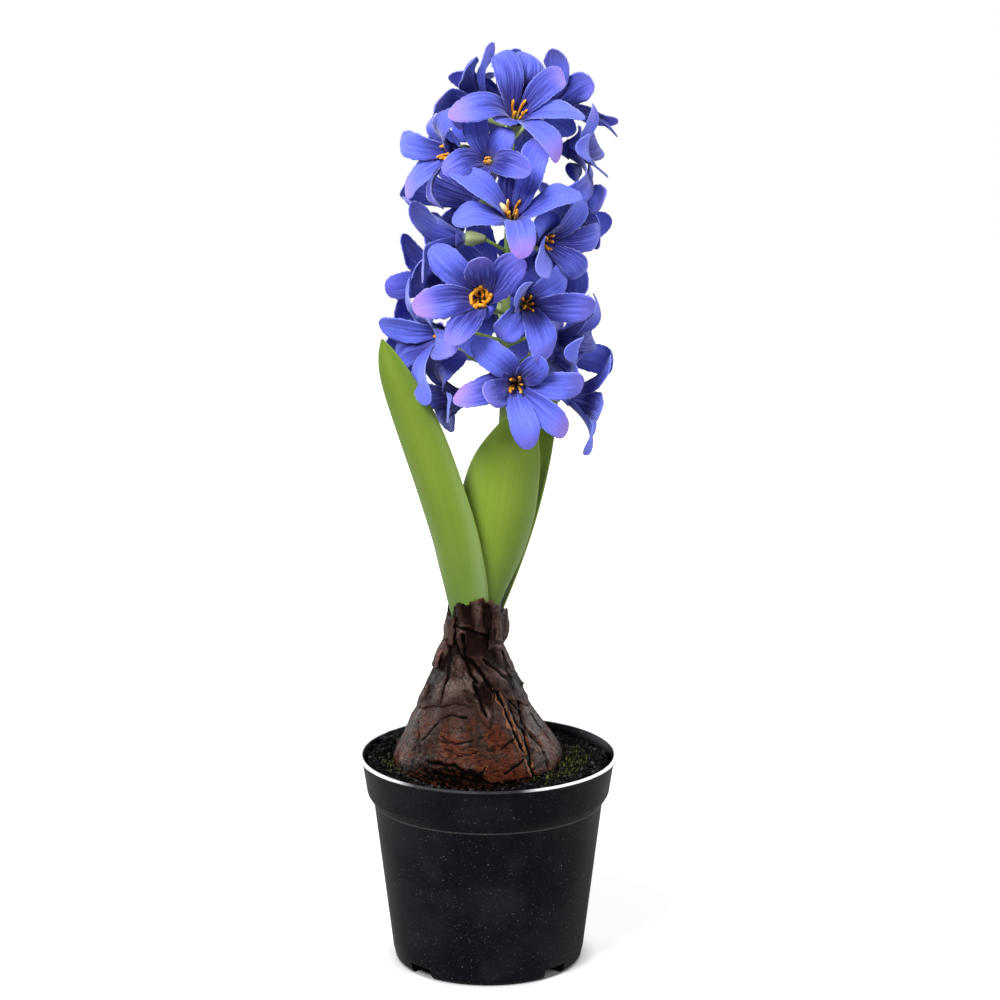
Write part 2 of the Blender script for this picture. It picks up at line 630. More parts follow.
class LeafSettings(bpy.types.PropertyGroup):
    thickness: length("Thickness", "Thickness of a leaf along its middle", 1.1)
    body: colour("Green", "Main colour of the leaves", (0.13, 0.215, 0.014))
    light: colour("Light green", "Colour along the middle and the edges", (0.23, 0.32, 0.035))
    foot: colour("Foot", "Colour near the bulb", (0.085, 0.155, 0.03))


class BulbSettings(bpy.types.PropertyGroup):
    body: colour("Red brown", "Main colour of the bulb", (0.068, 0.0155, 0.0065))
    dark: colour("Dark", "Colour of its mottling and creases", (0.0015, 0.001, 0.001))
    streak: colour("Streak", "Colour of its pale streaks", (0.17, 0.062, 0.022))
    skin: colour("Papery skin", "Main colour of the dry skin", (0.026, 0.014, 0.0125))
    skin_light: colour("Worn skin", "Colour of the skin's worn ridges", (0.094, 0.06, 0.051))


class SoilSettings(bpy.types.PropertyGroup):
    crumbs: IntProperty(name="Crumbs", description="Number of loose crumbs on the soil", default=1500, min=0)
    tufts: IntProperty(name="Moss", description="Number of places tried for moss", default=1800, min=0)
    body: colour("Soil", "Colour of the soil", (0.0035, 0.0032, 0.0037))
    moss: colour("Moss", "Colour of the moss", (0.05, 0.062, 0.01))


class PotSettings(bpy.types.PropertyGroup):
    body: colour("Black", "Colour of the pot's plastic", (0.0028, 0.0028, 0.0058))
    dust: colour("Dust", "Colour of the specks on it", (0.19, 0.19, 0.18))
    worn: colour("Worn lip", "Colour of the lip's bright edge", (0.85, 0.86, 0.9))


class StudioSettings(bpy.types.PropertyGroup):
    sky: FloatProperty(name="Surrounding light", description="How strongly the room itself lights the plant",
                       default=0.075)
    key: FloatProperty(name="Key light", description="Power of the large light in front", unit="POWER",
                       default=36)
    back: FloatProperty(name="Back light", description="Power of each light behind", unit="POWER", default=7)
    floor_glow: FloatProperty(name="Floor glow", description="How brightly the white floor is seen",
                              default=0.72)
    sheen: FloatProperty(name="Sheen light", description="Power of each light that only gives a sheen",
                         unit="POWER", default=3)


GROUPS = {
    "hyacinth_petals": PetalSettings, "hyacinth_stamens": StamenSettings, "hyacinth_stem": StemSettings,
    "hyacinth_leaves": LeafSettings, "hyacinth_bulb": BulbSettings, "hyacinth_soil": SoilSettings,
    "hyacinth_pot": PotSettings, "hyacinth_studio": StudioSettings,
}


# Florets

class Floret:
    """Where a floret sits, which way it faces, and its petals."""

    def __init__(self, index):
        at, faces, lift, self.size, petals = FLORETS[index]
        self.index = index
        self.growth = 1
        self.base = Vector(at)
        level = cos(radians(lift))
        self.facing = Vector((sin(radians(faces)) * level, -cos(radians(faces)) * level, sin(radians(lift))))
        self.right = Vector((cos(radians(faces)), sin(radians(faces)), 0))
        self.up = -self.right.cross(self.facing)
        if isinstance(petals, tuple):
            first, tips, self.growth = petals
            petals = [
                (first + 360 / PETAL_COUNT * k + HIDDEN_TURN_SPREAD * draw(index * 17 + k * 3),
                 tips + HIDDEN_LIFT_SPREAD * draw(index * 17 + k * 3 + 0.5))
                for k in range(PETAL_COUNT)
            ]
        self.petals = petals
        self.root_step = 360 / len(petals)
        self.root_turn = sum(petal[0] - self.root_step * k for k, petal in enumerate(petals)) / len(petals)
        # The matrix that takes a shape standing on +Z to the floret's throat
        self.place = Matrix.Translation(self.base) @ self.facing.to_track_quat("Z", "Y").to_matrix().to_4x4()

    def out(self, turn):
        return self.right * cos(turn) + self.up * sin(turn)


class Petal:
    """The middle face of one petal, plain as its CAD petal is or pressed as the fabric one is."""

    STEPS = 12

    def __init__(self, floret, k, bend, pressed=False, tip_curl=0.0):
        share_of_length, curl, self.sway = bend
        self.bend = bend
        self.floret = floret
        self.k = k
        self.seed = floret.index * 17 + k * 3
        self.aim, tip_lift, *more = floret.petals[k]
        reach, turned_over = (*more, *(1, 0)[len(more):])
        self.root = floret.root_turn + floret.root_step * k
        twist = PETAL_TWIST * (PRESSED_TWIST if pressed else 1)
        self.twist = radians(twist * draw(self.seed + 2) + turned_over)
        self.half = PETAL_WIDTH / 2 * floret.size * min(1, PETAL_ROOM / len(floret.petals))
        run = PETAL_LENGTH * floret.size * (1 + 0.05 * draw(self.seed + 1.5))
        run *= min(1, reach) * share_of_length
        if pressed:
            self.half *= (1 + floret.growth) / 2
            run *= PRESSED_LENGTH * max(floret.growth, reach)
        root_lift = radians(ROOT_LIFTS[k % 2] + (PRESSED_STEEPER if pressed else 0))
        end_lift = radians(tip_lift + curl)
        self.spine = []
        radial, axial = THROAT_RADIUS, ROOT_RISE
        for i in range(self.STEPS + 1):
            share = i / self.STEPS
            lift = mix(root_lift, end_lift, 0.35 * share + 0.65 * smooth(share))
            lift -= radians(tip_curl) * smooth((share - 0.45) / 0.55)
            self.spine.append((share, radial, axial, lift))
            radial += run / self.STEPS * cos(lift)
            axial += run / self.STEPS * sin(lift)

    def outline(self, share):
        """Half width as a share of the widest."""
        if share < PETAL_SHOULDER:
            return mix(PETAL_ROOT, 1, smooth(share / PETAL_SHOULDER) ** 0.9)
        q = (share - PETAL_SHOULDER) / (1 - PETAL_SHOULDER)
        return sqrt(max(0, 1 - q ** (2.3 + 0.35 * draw(self.seed + 8))))

    def frame_at(self, share, curve=along):
        """Centre, sideways and outward-facing directions at a share of the length."""
        radial, axial, lift = (curve([(s[0], s[n]) for s in self.spine], share) for n in (1, 2, 3))
        turn = radians(mix(self.root, self.aim + self.sway, smooth(share * 1.3)))
        out = self.floret.out(turn)
        side = self.floret.right * -sin(turn) + self.floret.up * cos(turn)
        normal = out * -sin(lift) + self.floret.facing * cos(lift)
        return self.floret.base + out * radial + self.floret.facing * axial, side, normal

    def point(self, spot, share, t, wide):
        """The plain petal's point at t across, from -1 to 1."""
        centre, side, normal = spot
        cup = self.floret.size * (1.3 * (1 - share) + 0.4) * wide / self.half
        angle = self.twist * share
        return centre + side * (t * wide * cos(angle)) + normal * (t * wide * sin(angle) + cup * t * t)


def bent_like_cad(floret, k, tree):
    """The petal whose bend puts its tip where the CAD petal's is, found by its faces' known distance."""
    best, best_miss = None, 1e9
    for bend in BENDS:
        petal = Petal(floret, k, bend)
        miss = 0
        for share in (1, 0.77):
            wide = petal.half * max(0.28, petal.outline(share))
            spot = petal.frame_at(share)
            for t in (-1, 0, 1):
                away = tree.find(petal.point(spot, share, t, wide) * MM)[2] / MM
                miss += abs(away - PETAL_SHELL)
        if miss < best_miss:
            best, best_miss = petal, miss
    free = k in FREE_PETALS.get(floret.index, ())
    bend = BENDS[0] if free or best_miss > CAD_REACH else best.bend
    return Petal(floret, k, bend, pressed=True, tip_curl=TIP_CURL + TIP_CURL_SPREAD * draw(best.seed + 9))


def add_petal(bm, petal, settings, uv_layer, tint_layer, seed_layer):
    """A pressed fabric petal, from a grid laid along its spine."""
    columns, rows = 14, 38
    made = bmesh.ops.create_grid(bm, x_segments=columns, y_segments=rows, size=0.5)["verts"]
    seed = petal.seed
    tint = LILAC_TIPS.get(petal.floret.index, {}).get(petal.k, max(0, 0.35 * draw(seed + 7)))
    crease = settings.crease / MM * petal.floret.size
    ruffle = settings.ruffle / MM
    girth = 0.95 + 0.07 * draw(seed + 10)
    arch = 1.0 + 1.5 * draw(seed + 4)
    spots = {}
    places = {}
    for vert in made:
        u, v = vert.co.x + 0.5, vert.co.y + 0.5
        share = 1 - (1 - v) ** 1.35
        row = round(v * rows)
        if row not in spots:
            spots[row] = petal.frame_at(share, eased)
        t = 2 * u - 1
        wide = girth * petal.half * petal.outline(share)
        point = petal.point(spots[row], share, t, wide)
        body = sin(pi * min(1, share)) ** 0.7
        groove = exp(-(t / CREASE_SPREAD) ** 2) + 0.7 * exp(-((abs(t) - SIDE_CREASE) / CREASE_SPREAD) ** 2)
        wave = sin(tau * (1.5 * share + draw(seed + 5 + (t > 0))) + 2 * draw(seed + 6))
        rise = -crease * groove * body * (1 - 0.5 * share)
        off = (t * wide / petal.half) ** 2
        rise += ruffle * wave * off * smooth(share * 2)
        rise -= arch * off * smooth((share - 0.35) / 0.5)
        ragged = smooth(share * 3) * smooth((1 - share) * 25)
        fray = 0.2 * ragged * draw(row * 3.7 + seed + (t > 0)) if abs(t) > 0.99 else 0
        _, side, normal = spots[row]
        vert.co = point + normal * rise + side * (fray * t)
        vert[tint_layer] = tint
        vert[seed_layer] = seed * 0.37
        places[vert] = (u, share)
    map_onto({face for vert in made for face in vert.link_faces}, uv_layer, places)
    bmesh.ops.remove_doubles(bm, verts=made, dist=0.05)


def add_throat(bm, floret, uv_layer, tint_layer, seed_layer):
    """The funnel that the petals are joined to, sunk in the calyx."""
    profile = [(0.15, -4.4), (0.7, -4.2), (1.05, -3), (1.3, -1.4), (1.65, -0.1), (2.15, 0.75), (2.75, 1.6),
               (3.45, 2.4)]
    funnel = turned(profile, 18, close=False)
    before = len(bm.verts)
    append(bm, funnel, floret.place)
    bm.verts.ensure_lookup_table()
    for vert in bm.verts[before:]:
        depth = (vert.co - floret.base).dot(floret.facing)
        vert[tint_layer] = 0
        vert[seed_layer] = 1
        for loop in vert.link_loops:
            loop[uv_layer].uv = (0.37, 0.057 * depth - 0.02)


def petal_finish(settings):
    fibre_blue = (0.22, 0.26, 0.9)
    grain_blue = (0.03, 0.03, 0.3)
    cloth = Finish("petal_fabric", Roughness=0.7, Specular_IOR_Level=0.25, Sheen_Weight=0.4,
                   Sheen_Roughness=0.4, Sheen_Tint=(0.7, 0.74, 1, 1))
    layout = cloth.uv("petal")
    across = cloth.axis(layout, "X")
    length_wise = cloth.axis(layout, "Y")
    seed = cloth.value("seed")
    seeded = cloth.add("CombineXYZ", {"X": across, "Y": length_wise, "Z": seed})
    fibres = cloth.noise(cloth.add("Mapping", {"Vector": seeded, "Scale": (18, 2.2, 3)}), 1, 3, 0.55)
    clouds = cloth.noise(cloth.add("Mapping", {"Vector": seeded, "Scale": (2.5, 2.5, 3)}), 1, 3, 0.5)
    grain = cloth.noise(cloth.place((2.4, 2.4, 2.4)), 1, 3, 0.75)
    # Deep colour from the throat outwards, further along some petals than others
    reach = cloth.math("ADD", length_wise, cloth.math("MULTIPLY", clouds, 0.5),
                       cloth.math("MULTIPLY", fibres, 0.25))
    tone = cloth.noise(cloth.add("CombineXYZ", {"X": seed, "Y": 3.3}), 1.7, 1, 0.5)
    reach = cloth.math("SUBTRACT", reach, cloth.span(tone, 0.35, 0.65, 0.0, 0.5))
    base = cloth.mixed(cloth.span(reach, 0.3, 1.0), settings.deep, settings.body)
    # Lines of the pressed creases
    off_middle = cloth.math("ABSOLUTE", cloth.math("SUBTRACT", across, 0.5))
    off_side = cloth.math("ABSOLUTE", cloth.math("SUBTRACT", off_middle, SIDE_CREASE / 2))
    middle = cloth.span(off_middle, 0.0, 0.035, 1.0, 0.0)
    side = cloth.span(off_side, 0.0, 0.035, 0.8, 0.0)
    cloudy = cloth.math("ADD", length_wise, cloth.math("MULTIPLY", clouds, 0.4))
    line = cloth.math("MAXIMUM", middle, side)
    line = cloth.math("MULTIPLY", line, cloth.span(cloudy, 0.4, 1.05, 0.7, 0.0))
    base = cloth.mixed(line, base, settings.deep)
    # Fibres and thread grain
    base = cloth.over(base, fibre_blue, fibres, 0.45, 0.72, 0.4)
    base = cloth.mixed(cloth.span(grain, 0.3, 0.75, 0.35, 0.0), base, grain_blue)
    # Lilac tips and pale cut edges
    tip = cloth.math("MULTIPLY", cloth.span(length_wise, 0.6, 1.05, 0.0, 0.9), cloth.value("tint"))
    base = cloth.mixed(tip, base, settings.tip)
    edge = cloth.math("MAXIMUM", cloth.span(off_middle, 0.475, 0.5), cloth.span(length_wise, 0.985, 1.0))
    frayed = cloth.math("MULTIPLY", edge, cloth.span(grain, 0.38, 0.62, 0.0, 0.6),
                        cloth.span(length_wise, 0.1, 0.4))
    base = cloth.mixed(frayed, base, settings.edge)
    pale = cloth.span(length_wise, -0.14, 0.03, 0.9, 0.0)
    base = cloth.mixed(pale, base, settings.throat)
    weave = cloth.bump(grain, 0.12, 0.6)
    return cloth.use(Base_Color=base, Normal=cloth.bump(fibres, 0.25, 0.7, weave))


class HYACINTH_OT_florets(bpy.types.Operator):
    """Cuts, presses and bends the fabric petals of every floret"""
    bl_idname = "hyacinth.florets"
    bl_label = "Florets"

    def execute(self, context):
        settings = context.scene.hyacinth_petals
        cloth = petal_finish(settings)
        for index in range(len(FLORETS)):
            node = f"floret_{index + 1:02d}"
            verts = frame["nodes"][node].data.vertices
            tree = KDTree(len(verts))
            for n, vert in enumerate(verts):
                tree.insert(vert.co, n)
            tree.balance()
            floret = Floret(index)
            bm = bmesh.new()
            uv_layer = bm.loops.layers.uv.new("petal")
            tint_layer = bm.verts.layers.float.new("tint")
            seed_layer = bm.verts.layers.float.new("seed")
            for k in range(len(floret.petals)):
                petal = bent_like_cad(floret, k, tree)
                add_petal(bm, petal, settings, uv_layer, tint_layer, seed_layer)
            add_throat(bm, floret, uv_layer, tint_layer, seed_layer)
            finished(bm, f"petals_{index + 1:02d}", cloth, [node],
                     lambda piece: thicken(piece, settings.thickness))
        return {"FINISHED"}


# Stamens

def stamen_points(k, curled, growth):
    """The line of one filament, from the throat's bottom outwards, on +Z."""
    angle = tau * k / STAMEN_COUNT + 0.25 * draw(k + 3)
    lean = 0.38 + 0.14 * draw(k * 2 + 1)
    tall = growth * (6 + draw(k * 3 + 2))
    points = []
    for i in range(FILAMENT_STEPS + 1):
        share = i / FILAMENT_STEPS
        out = 0.75 + tall * share * lean * (0.7 + 0.3 * share) - 0.9 * smooth((share - 0.6) / 0.4)
        turn = angle + 0.5 * share * share * draw(k + 9)
        height = -0.5 + tall * share
        if curled:
            out = 0.9 + 1.9 * smooth(share * 1.5) + 0.6 * draw(k * 2 + i * 1.3)
            turn = angle + 1.3 * smooth((share - 0.3) / 0.7) + 0.2 * draw(k * 5 + i)
            height = 0.4 + 4.2 * smooth(share * 1.4) + 1.3 * draw(k + i * 1.7)
        points.append(Vector((out * cos(turn), out * sin(turn), height)))
    return points


def add_anther(bm, point, along_way, long, wide):
    """A small rough seed-shaped anther at the end of a filament."""
    place = Matrix.LocRotScale(point, along_way.to_track_quat("Z", "Y"), Vector((wide, wide, long)))
    made = bmesh.ops.create_icosphere(bm, subdivisions=2, radius=1, matrix=place)["verts"]
    for vert in made:
        vert.co += (vert.co - point) * 0.22 * noise.noise(vert.co * 1.9)


def stamen_finish(settings):
    orange = (0.6, 0.2, 0.01)
    body = Finish("stamen_yellow", Roughness=0.5, Specular_IOR_Level=0.4)
    specks = body.noise(body.place((1.6, 1.6, 1.6)), 1, 3, 0.6)
    base = body.over(settings.body, orange, specks, 0.35, 0.7)
    base = body.mixed(body.value("foot"), base, settings.foot)
    return body.use(Base_Color=base, Normal=body.bump(specks, 0.25, 0.8))


class HYACINTH_OT_stamens(bpy.types.Operator):
    """Sets six filaments with their anthers in every throat"""
    bl_idname = "hyacinth.stamens"
    bl_label = "Stamens"

    def execute(self, context):
        settings = context.scene.hyacinth_stamens
        material = stamen_finish(settings)
        radius = settings.thread / MM
        for index in range(len(FLORETS)):
            floret = Floret(index)
            curled = index == RING_FLORET
            bm = bmesh.new()
            foot = bm.verts.layers.float.new("foot")
            for k in range(STAMEN_COUNT):
                line = stamen_points(k + index * (0 if curled else 1), curled, SHORT_STAMENS.get(index, 1))
                line = [floret.place @ (floret.size * point) for point in line]
                girth = radius * (1.5 if curled else 1)
                radii = [girth * mix(0.9, 1.25, i / FILAMENT_STEPS) for i in range(FILAMENT_STEPS + 1)]
                add_tube(bm, line, radii, 8)
                ahead = (line[-1] - line[-2]).normalized()
                add_anther(bm, line[-1] - ahead * 0.5, ahead, 1.2, 0.75 if curled else 0.5)
            aside = floret.out(radians(STUB_TURN))
            if index == STUB_FLORET:
                stub = [floret.base + aside * out + floret.facing * rise for out, rise in STUB_LINE]
                add_tube(bm, stub, STUB_RADII, 10)
            for vert in bm.verts:
                away = vert.co - floret.base
                on_stub = index == STUB_FLORET and away.dot(aside) > 2.6
                vert[foot] = 1 if on_stub else 1 - smooth((away.dot(floret.facing) - 0.4) / 2.4)
            bmesh.ops.recalc_face_normals(bm, faces=bm.faces)
            finished(bm, f"anthers_{index + 1:02d}", material, [f"stamens_{index + 1:02d}"])
        return {"FINISHED"}


# Stem

def stalk_points(floret, steps=12):
    """The curve of a floret's stalk, from inside the stem to its calyx."""
    foot = floret.base - floret.facing * CALYX_LENGTH
    height = min(foot.z - 5, STEM_TOP)
    start = Vector((along([(z, x) for x, _, z in STEM_PATH], height), 0, height))
    bend = (foot - floret.facing * 4).lerp(foot, 0.3)
    bend.z = mix(start.z, bend.z, 0.6)
    end = foot + floret.facing * 0.8
    return [
        start * (1 - s) ** 2 + bend * (2 * s * (1 - s)) + end * s ** 2
        for s in (i / steps for i in range(steps + 1))
    ]


def add_calyx(bm, floret, cup_layer):
    """The ribbed green cup that holds a floret, hollow down to its floor."""
    outer = [(0, -7.6), (0.85, -7.5), (1.15, -7), (1.5, -6.2), (1.95, -5), (2.4, -3.6), (2.65, -2.4),
             (2.6, -1.3), (2.35, -0.7)]
    inner = [(2.1, -0.8), (2.2, -1.6), (2.0, -3), (1.4, -4.4), (0, -4.9)]
    cup = turned(outer + inner, 24)
    for vert in cup.verts:
        angle = atan2(vert.co.y, vert.co.x)
        rib = 1 + 0.05 * cos(6 * angle) * smooth((vert.co.z + 7) / 3)
        vert.co.x *= rib
        vert.co.y *= rib
    before = len(bm.verts)
    append(bm, cup, floret.place)
    bm.verts.ensure_lookup_table()
    for vert in bm.verts[before:]:
        vert[cup_layer] = 1


def stem_finish(settings):
    pale_patch = (0.38, 0.44, 0.14)
    dark_grain = (0.12, 0.2, 0.06)
    green = Finish("stem_green", Roughness=0.5, Specular_IOR_Level=0.4)
    clouds = green.noise(green.place((0.25, 0.25, 0.12)), 1, 3, 0.5)
    grain = green.noise(green.place((2.5, 2.5, 0.6)), 1, 3, 0.6)
    base = green.mixed(green.value("cup"), settings.body, settings.calyx)
    base = green.over(base, pale_patch, clouds, 0.35, 0.7, 0.4)
    base = green.over(base, dark_grain, grain, 0.4, 0.7, 0.3)
    return green.use(Base_Color=base, Normal=green.bump(grain, 0.15, 0.6))


class HYACINTH_OT_stem(bpy.types.Operator):
    """Grows the stem, a stalk for each floret and the calyx on it"""
    bl_idname = "hyacinth.stem"
    bl_label = "Stem"

    def execute(self, context):
        settings = context.scene.hyacinth_stem
        bm = bmesh.new()
        cup_layer = bm.verts.layers.float.new("cup")
        path = Path(STEM_PATH)
        steps = 60
        line = [path.at(i / steps)[0] for i in range(steps + 1)]
        radius = settings.radius / MM
        add_tube(bm, line, [radius * (1 + 0.05 * draw(i)) for i in range(steps + 1)], 14)
        for index in range(len(FLORETS)):
            floret = Floret(index)
            stalk = stalk_points(floret)
            add_tube(bm, stalk, [settings.stalk / MM] * len(stalk), 8)
            add_calyx(bm, floret, cup_layer)
        bmesh.ops.recalc_face_normals(bm, faces=bm.faces)
        finished(bm, "flower_stem", stem_finish(settings), ["stem"])
        return {"FINISHED"}


# Leaves

def leaf_point(leaf, path, share, t):
    """The middle face of a leaf at a share of its length and t across, from -1 to 1."""
    centre, up = path.at(share)
    outward = Vector(leaf["outward"][0]).lerp(Vector(leaf["outward"][1]), share)
    outward = (outward - up * outward.dot(up)).normalized()
    sideways = up.cross(outward)
    rounded = sqrt(max(0, 1 - max(0, (share - LEAF_TIP) / (1 - LEAF_TIP)) ** 2))
    half = eased(leaf["widths"], share) / 2 * rounded
    radius = mix(*leaf["hollow"], smooth(share * 1.9 - 0.15))
    angle = t * half / radius
    return centre + sideways * (radius * sin(angle)) - outward * (radius * (1 - cos(angle))), outward


def leaf_finish(settings):
    yellow_patch = (0.17, 0.26, 0.018)
    dark_vein = (0.08, 0.14, 0.01)
    pale_mottle = (0.2, 0.28, 0.05)
    milky_wax = (0.25, 0.34, 0.15)
    wax = Finish("leaf_wax", Roughness=0.4, Specular_IOR_Level=0.3)
    layout = wax.uv("leaf")
    length_wise = wax.axis(layout, "Y")
    off_middle = wax.math("ABSOLUTE", wax.math("SUBTRACT", wax.axis(layout, "X"), 0.5))
    clouds = wax.noise(wax.place((0.06, 0.06, 0.03)), 1, 2, 0.5)
    veins = wax.noise(wax.uv("leaf", (60, 0.8, 1)), 1, 2, 0.5)
    mottle = wax.noise(wax.place((1.1, 1.1, 1.1)), 1, 4, 0.6)
    base = wax.over(settings.foot, settings.body, length_wise, 0.1, 0.5)
    glow = wax.math("MULTIPLY", wax.span(off_middle, 0.0, 0.4, 0.5, 0.0), wax.span(length_wise, 0.2, 0.7))
    base = wax.mixed(glow, base, settings.light)
    base = wax.over(base, yellow_patch, clouds, 0.35, 0.7, 0.35)
    base = wax.over(base, dark_vein, veins, 0.35, 0.75, 0.22)
    base = wax.over(base, pale_mottle, mottle, 0.45, 0.75, 0.14)
    # The wax is milky towards the edges, most of all low down
    milky = wax.math("MULTIPLY", wax.span(off_middle, 0.2, 0.5), wax.span(length_wise, 0.9, 0.2, 0.1, 0.55))
    base = wax.mixed(milky, base, milky_wax)
    base = wax.over(base, settings.light, off_middle, 0.47, 0.5, 0.8)
    rough = wax.span(mottle, 0.3, 0.7, 0.32, 0.44)
    ridges = wax.bump(veins, 0.1, 0.5)
    return wax.use(Base_Color=base, Roughness=rough, Normal=wax.bump(mottle, 0.03, 0.4, ridges))


class HYACINTH_OT_leaves(bpy.types.Operator):
    """Lays out the three strap leaves"""
    bl_idname = "hyacinth.leaves"
    bl_label = "Leaves"

    def execute(self, context):
        settings = context.scene.hyacinth_leaves
        wax = leaf_finish(settings)
        columns, rows = 16, 72
        for number, (name, leaf) in enumerate(LEAVES.items()):
            path = Path(leaf["path"])
            bm = bmesh.new()
            uv_layer = bm.loops.layers.uv.new("leaf")
            body = bm.verts.layers.deform.verify()
            made = bmesh.ops.create_grid(bm, x_segments=columns, y_segments=rows, size=0.5)["verts"]
            places = {}
            for vert in made:
                u, v = vert.co.x + 0.5, vert.co.y + 0.5
                share = 1 - (1 - v) ** 1.3
                point, outward = leaf_point(leaf, path, share, 2 * u - 1)
                ripple = 0.35 * noise.noise(Vector((number * 9, u * 1.6, share * 5)))
                vert.co = point + outward * ripple
                vert[body][0] = 1 - abs(2 * u - 1) ** 2.5
                places[vert] = (u, share)
            map_onto(bm.faces, uv_layer, places)
            bmesh.ops.remove_doubles(bm, verts=bm.verts, dist=0.05)
            finished(bm, name.replace("leaf", "blade"), wax, [name],
                     lambda piece: thicken(piece, settings.thickness, "body", 0.4))
        return {"FINISHED"}


# Bulb and papery skin

def bulb_radius(height):
    return eased(BULB_PROFILE, min(height, NECK_TOP))


def lean(height):
    """How far the bulb's shoulder leans to the left."""
    return -1.2 * smooth((height - 76) / 12) * smooth((121 - height) / 9)


def azimuth_of(x, y):
    """Degrees round a middle, 0 at the front and growing to the right."""
    return degrees(atan2(x, -y))


def bulb_swell(angle, height):
    """The broad dents that run up the bulb."""
    share = smooth((height - BULB_FOOT) / 20) * (1 - 0.75 * smooth((height - 95) / 20))
    slanted = angle + 0.012 * (height - 70)
    broad = 0.45 * sin(3 * slanted + 1.2)
    narrow = 0.3 * sin(7 * slanted + 0.4) + 0.2 * sin(11 * angle)
    return share * (broad + narrow)


def crease_at(creases, spot):
    """How deep the creases are at a place, how near it is to one, from 0 to 1, and how orange it is."""
    radius = hypot(spot.x, spot.y)
    azimuth = azimuth_of(spot.x, spot.y) + degrees(0.6 * noise.noise(spot * 0.3) / radius)
    height = spot.z + 0.6 * noise.noise(spot * 0.3 + Vector((50, 0, 0)))
    uneven = 0.75 + 0.6 * noise.noise(spot * 0.4 + Vector((0, 50, 0)))
    depth, near, orange = 0.0, 0.0, 0.0
    for deep, half_width, torn, points in creases:
        wide = half_width * uneven
        for (a0, h0), (a1, h1) in zip(points, points[1:]):
            reach = 4 * wide
            if not min(h0, h1) - reach < height < max(h0, h1) + reach:
                continue
            off = (azimuth - a0 + 180) % 360 - 180
            px, py = radians(off) * radius, height - h0
            qx, qy = radians((a1 - a0 + 180) % 360 - 180) * radius, h1 - h0
            share = min(1, max(0, (px * qx + py * qy) / (qx * qx + qy * qy)))
            gap = hypot(px - share * qx, py - share * qy) / wide
            if gap < 4:
                pull = exp(-gap * gap)
                beside = exp(-((gap - 1.9) / 0.6) ** 2)
                depth = max(depth, deep * pull) - 0.4 * deep * beside
                near = max(near, pull)
                orange = max(orange, torn * beside)
    return depth, near, orange


def facets(point, size):
    """Crumpled paper: the rise of a tilted flat for each cell, and how near the crease between two is."""
    distances, cells = noise.voronoi(point / size)
    rises = []
    for cell in cells[:2]:
        key = cell.x * 3.1 + cell.y * 5.7 + cell.z * 7.3
        tilt = Vector((draw(key), draw(key + 1), draw(key + 2)))
        rises.append(tilt.dot(point / size - cell) + 0.4 * draw(key + 3))
    inner = smooth((distances[1] - distances[0]) / 0.22)
    return mix((rises[0] + rises[1]) / 2, rises[0], inner), 1 - inner


def bulb_finish(settings):
    dark_cloud = (0.013, 0.005, 0.0032)
    red_fibre = (0.12, 0.037, 0.015)
    dark_fibre = (0.006, 0.0027, 0.0022)
    bare_foot = (0.08, 0.018, 0.006)
    burnt_fibre = (0.085, 0.027, 0.01)
    peel = Finish("bulb_peel", Roughness=0.3, Specular_IOR_Level=0.17)
    spot = peel.place((1, 1, 1))
    clouds = peel.noise(peel.place((0.1, 0.1, 0.07)), 1, 5, 0.6, 0.4)
    fibres = peel.noise(peel.place((0.3, 0.3, 0.75)), 1, 6, 0.65, 1.4)
    specks = peel.noise(spot, 1.3, 4, 0.7, 0.6)
    cracks = peel.cracks(peel.place((0.13, 0.13, 0.16)), 1.3, 0.05)
    base = peel.over(settings.body, dark_cloud, clouds, 0.42, 0.56)
    base = peel.over(base, red_fibre, fibres, 0.5, 0.7, 0.6)
    base = peel.over(base, dark_fibre, fibres, 0.5, 0.38, 0.92)
    base = peel.over(base, settings.dark, specks, 0.5, 0.64, 0.8)
    # The peel is like the papery skin high up, and redder at the foot
    high = peel.math("ADD", peel.axis(spot, "Z"), peel.math("MULTIPLY", clouds, 16))
    base = peel.over(base, settings.skin, high, 91, 102, 0.9)
    base = peel.over(base, bare_foot, high, 84, 78, 0.25)
    lip = peel.math("ADD", peel.value("lip"), peel.math("MULTIPLY", fibres, -0.6))
    base = peel.over(base, settings.streak, lip, 0.1, 0.5, 0.9)
    soot = peel.math("ADD", peel.value("soot"), peel.math("MULTIPLY", fibres, -1.1))
    sooty = peel.span(soot, -0.25, 0.1)
    base = peel.mixed(sooty, base, peel.over(settings.dark, burnt_fibre, fibres, 0.5, 0.66, 0.6))
    ragged = peel.math("ADD", peel.value("crease"), peel.math("MULTIPLY", specks, 0.5))
    line = peel.math("MAXIMUM", peel.span(ragged, 0.6, 0.95), peel.math("MULTIPLY", cracks, 0.35))
    base = peel.mixed(line, base, settings.dark)
    dull = peel.math("MAXIMUM", line, peel.span(specks, 0.5, 0.68), peel.span(clouds, 0.53, 0.42, 0.0, 0.75),
                     peel.span(fibres, 0.48, 0.38, 0.0, 0.9), sooty)
    shine = peel.mixed(dull, (1, 0.86, 0.8), (0, 0, 0))
    rough = peel.span(specks, 0.35, 0.7, 0.2, 0.38)
    folds = peel.bump(fibres, 0.4, 0.8, peel.bump(cracks, -0.12, 0.8))
    return peel.use(Base_Color=base, Roughness=rough, Specular_Tint=shine,
                    Normal=peel.bump(specks, 0.12, 0.6, folds))


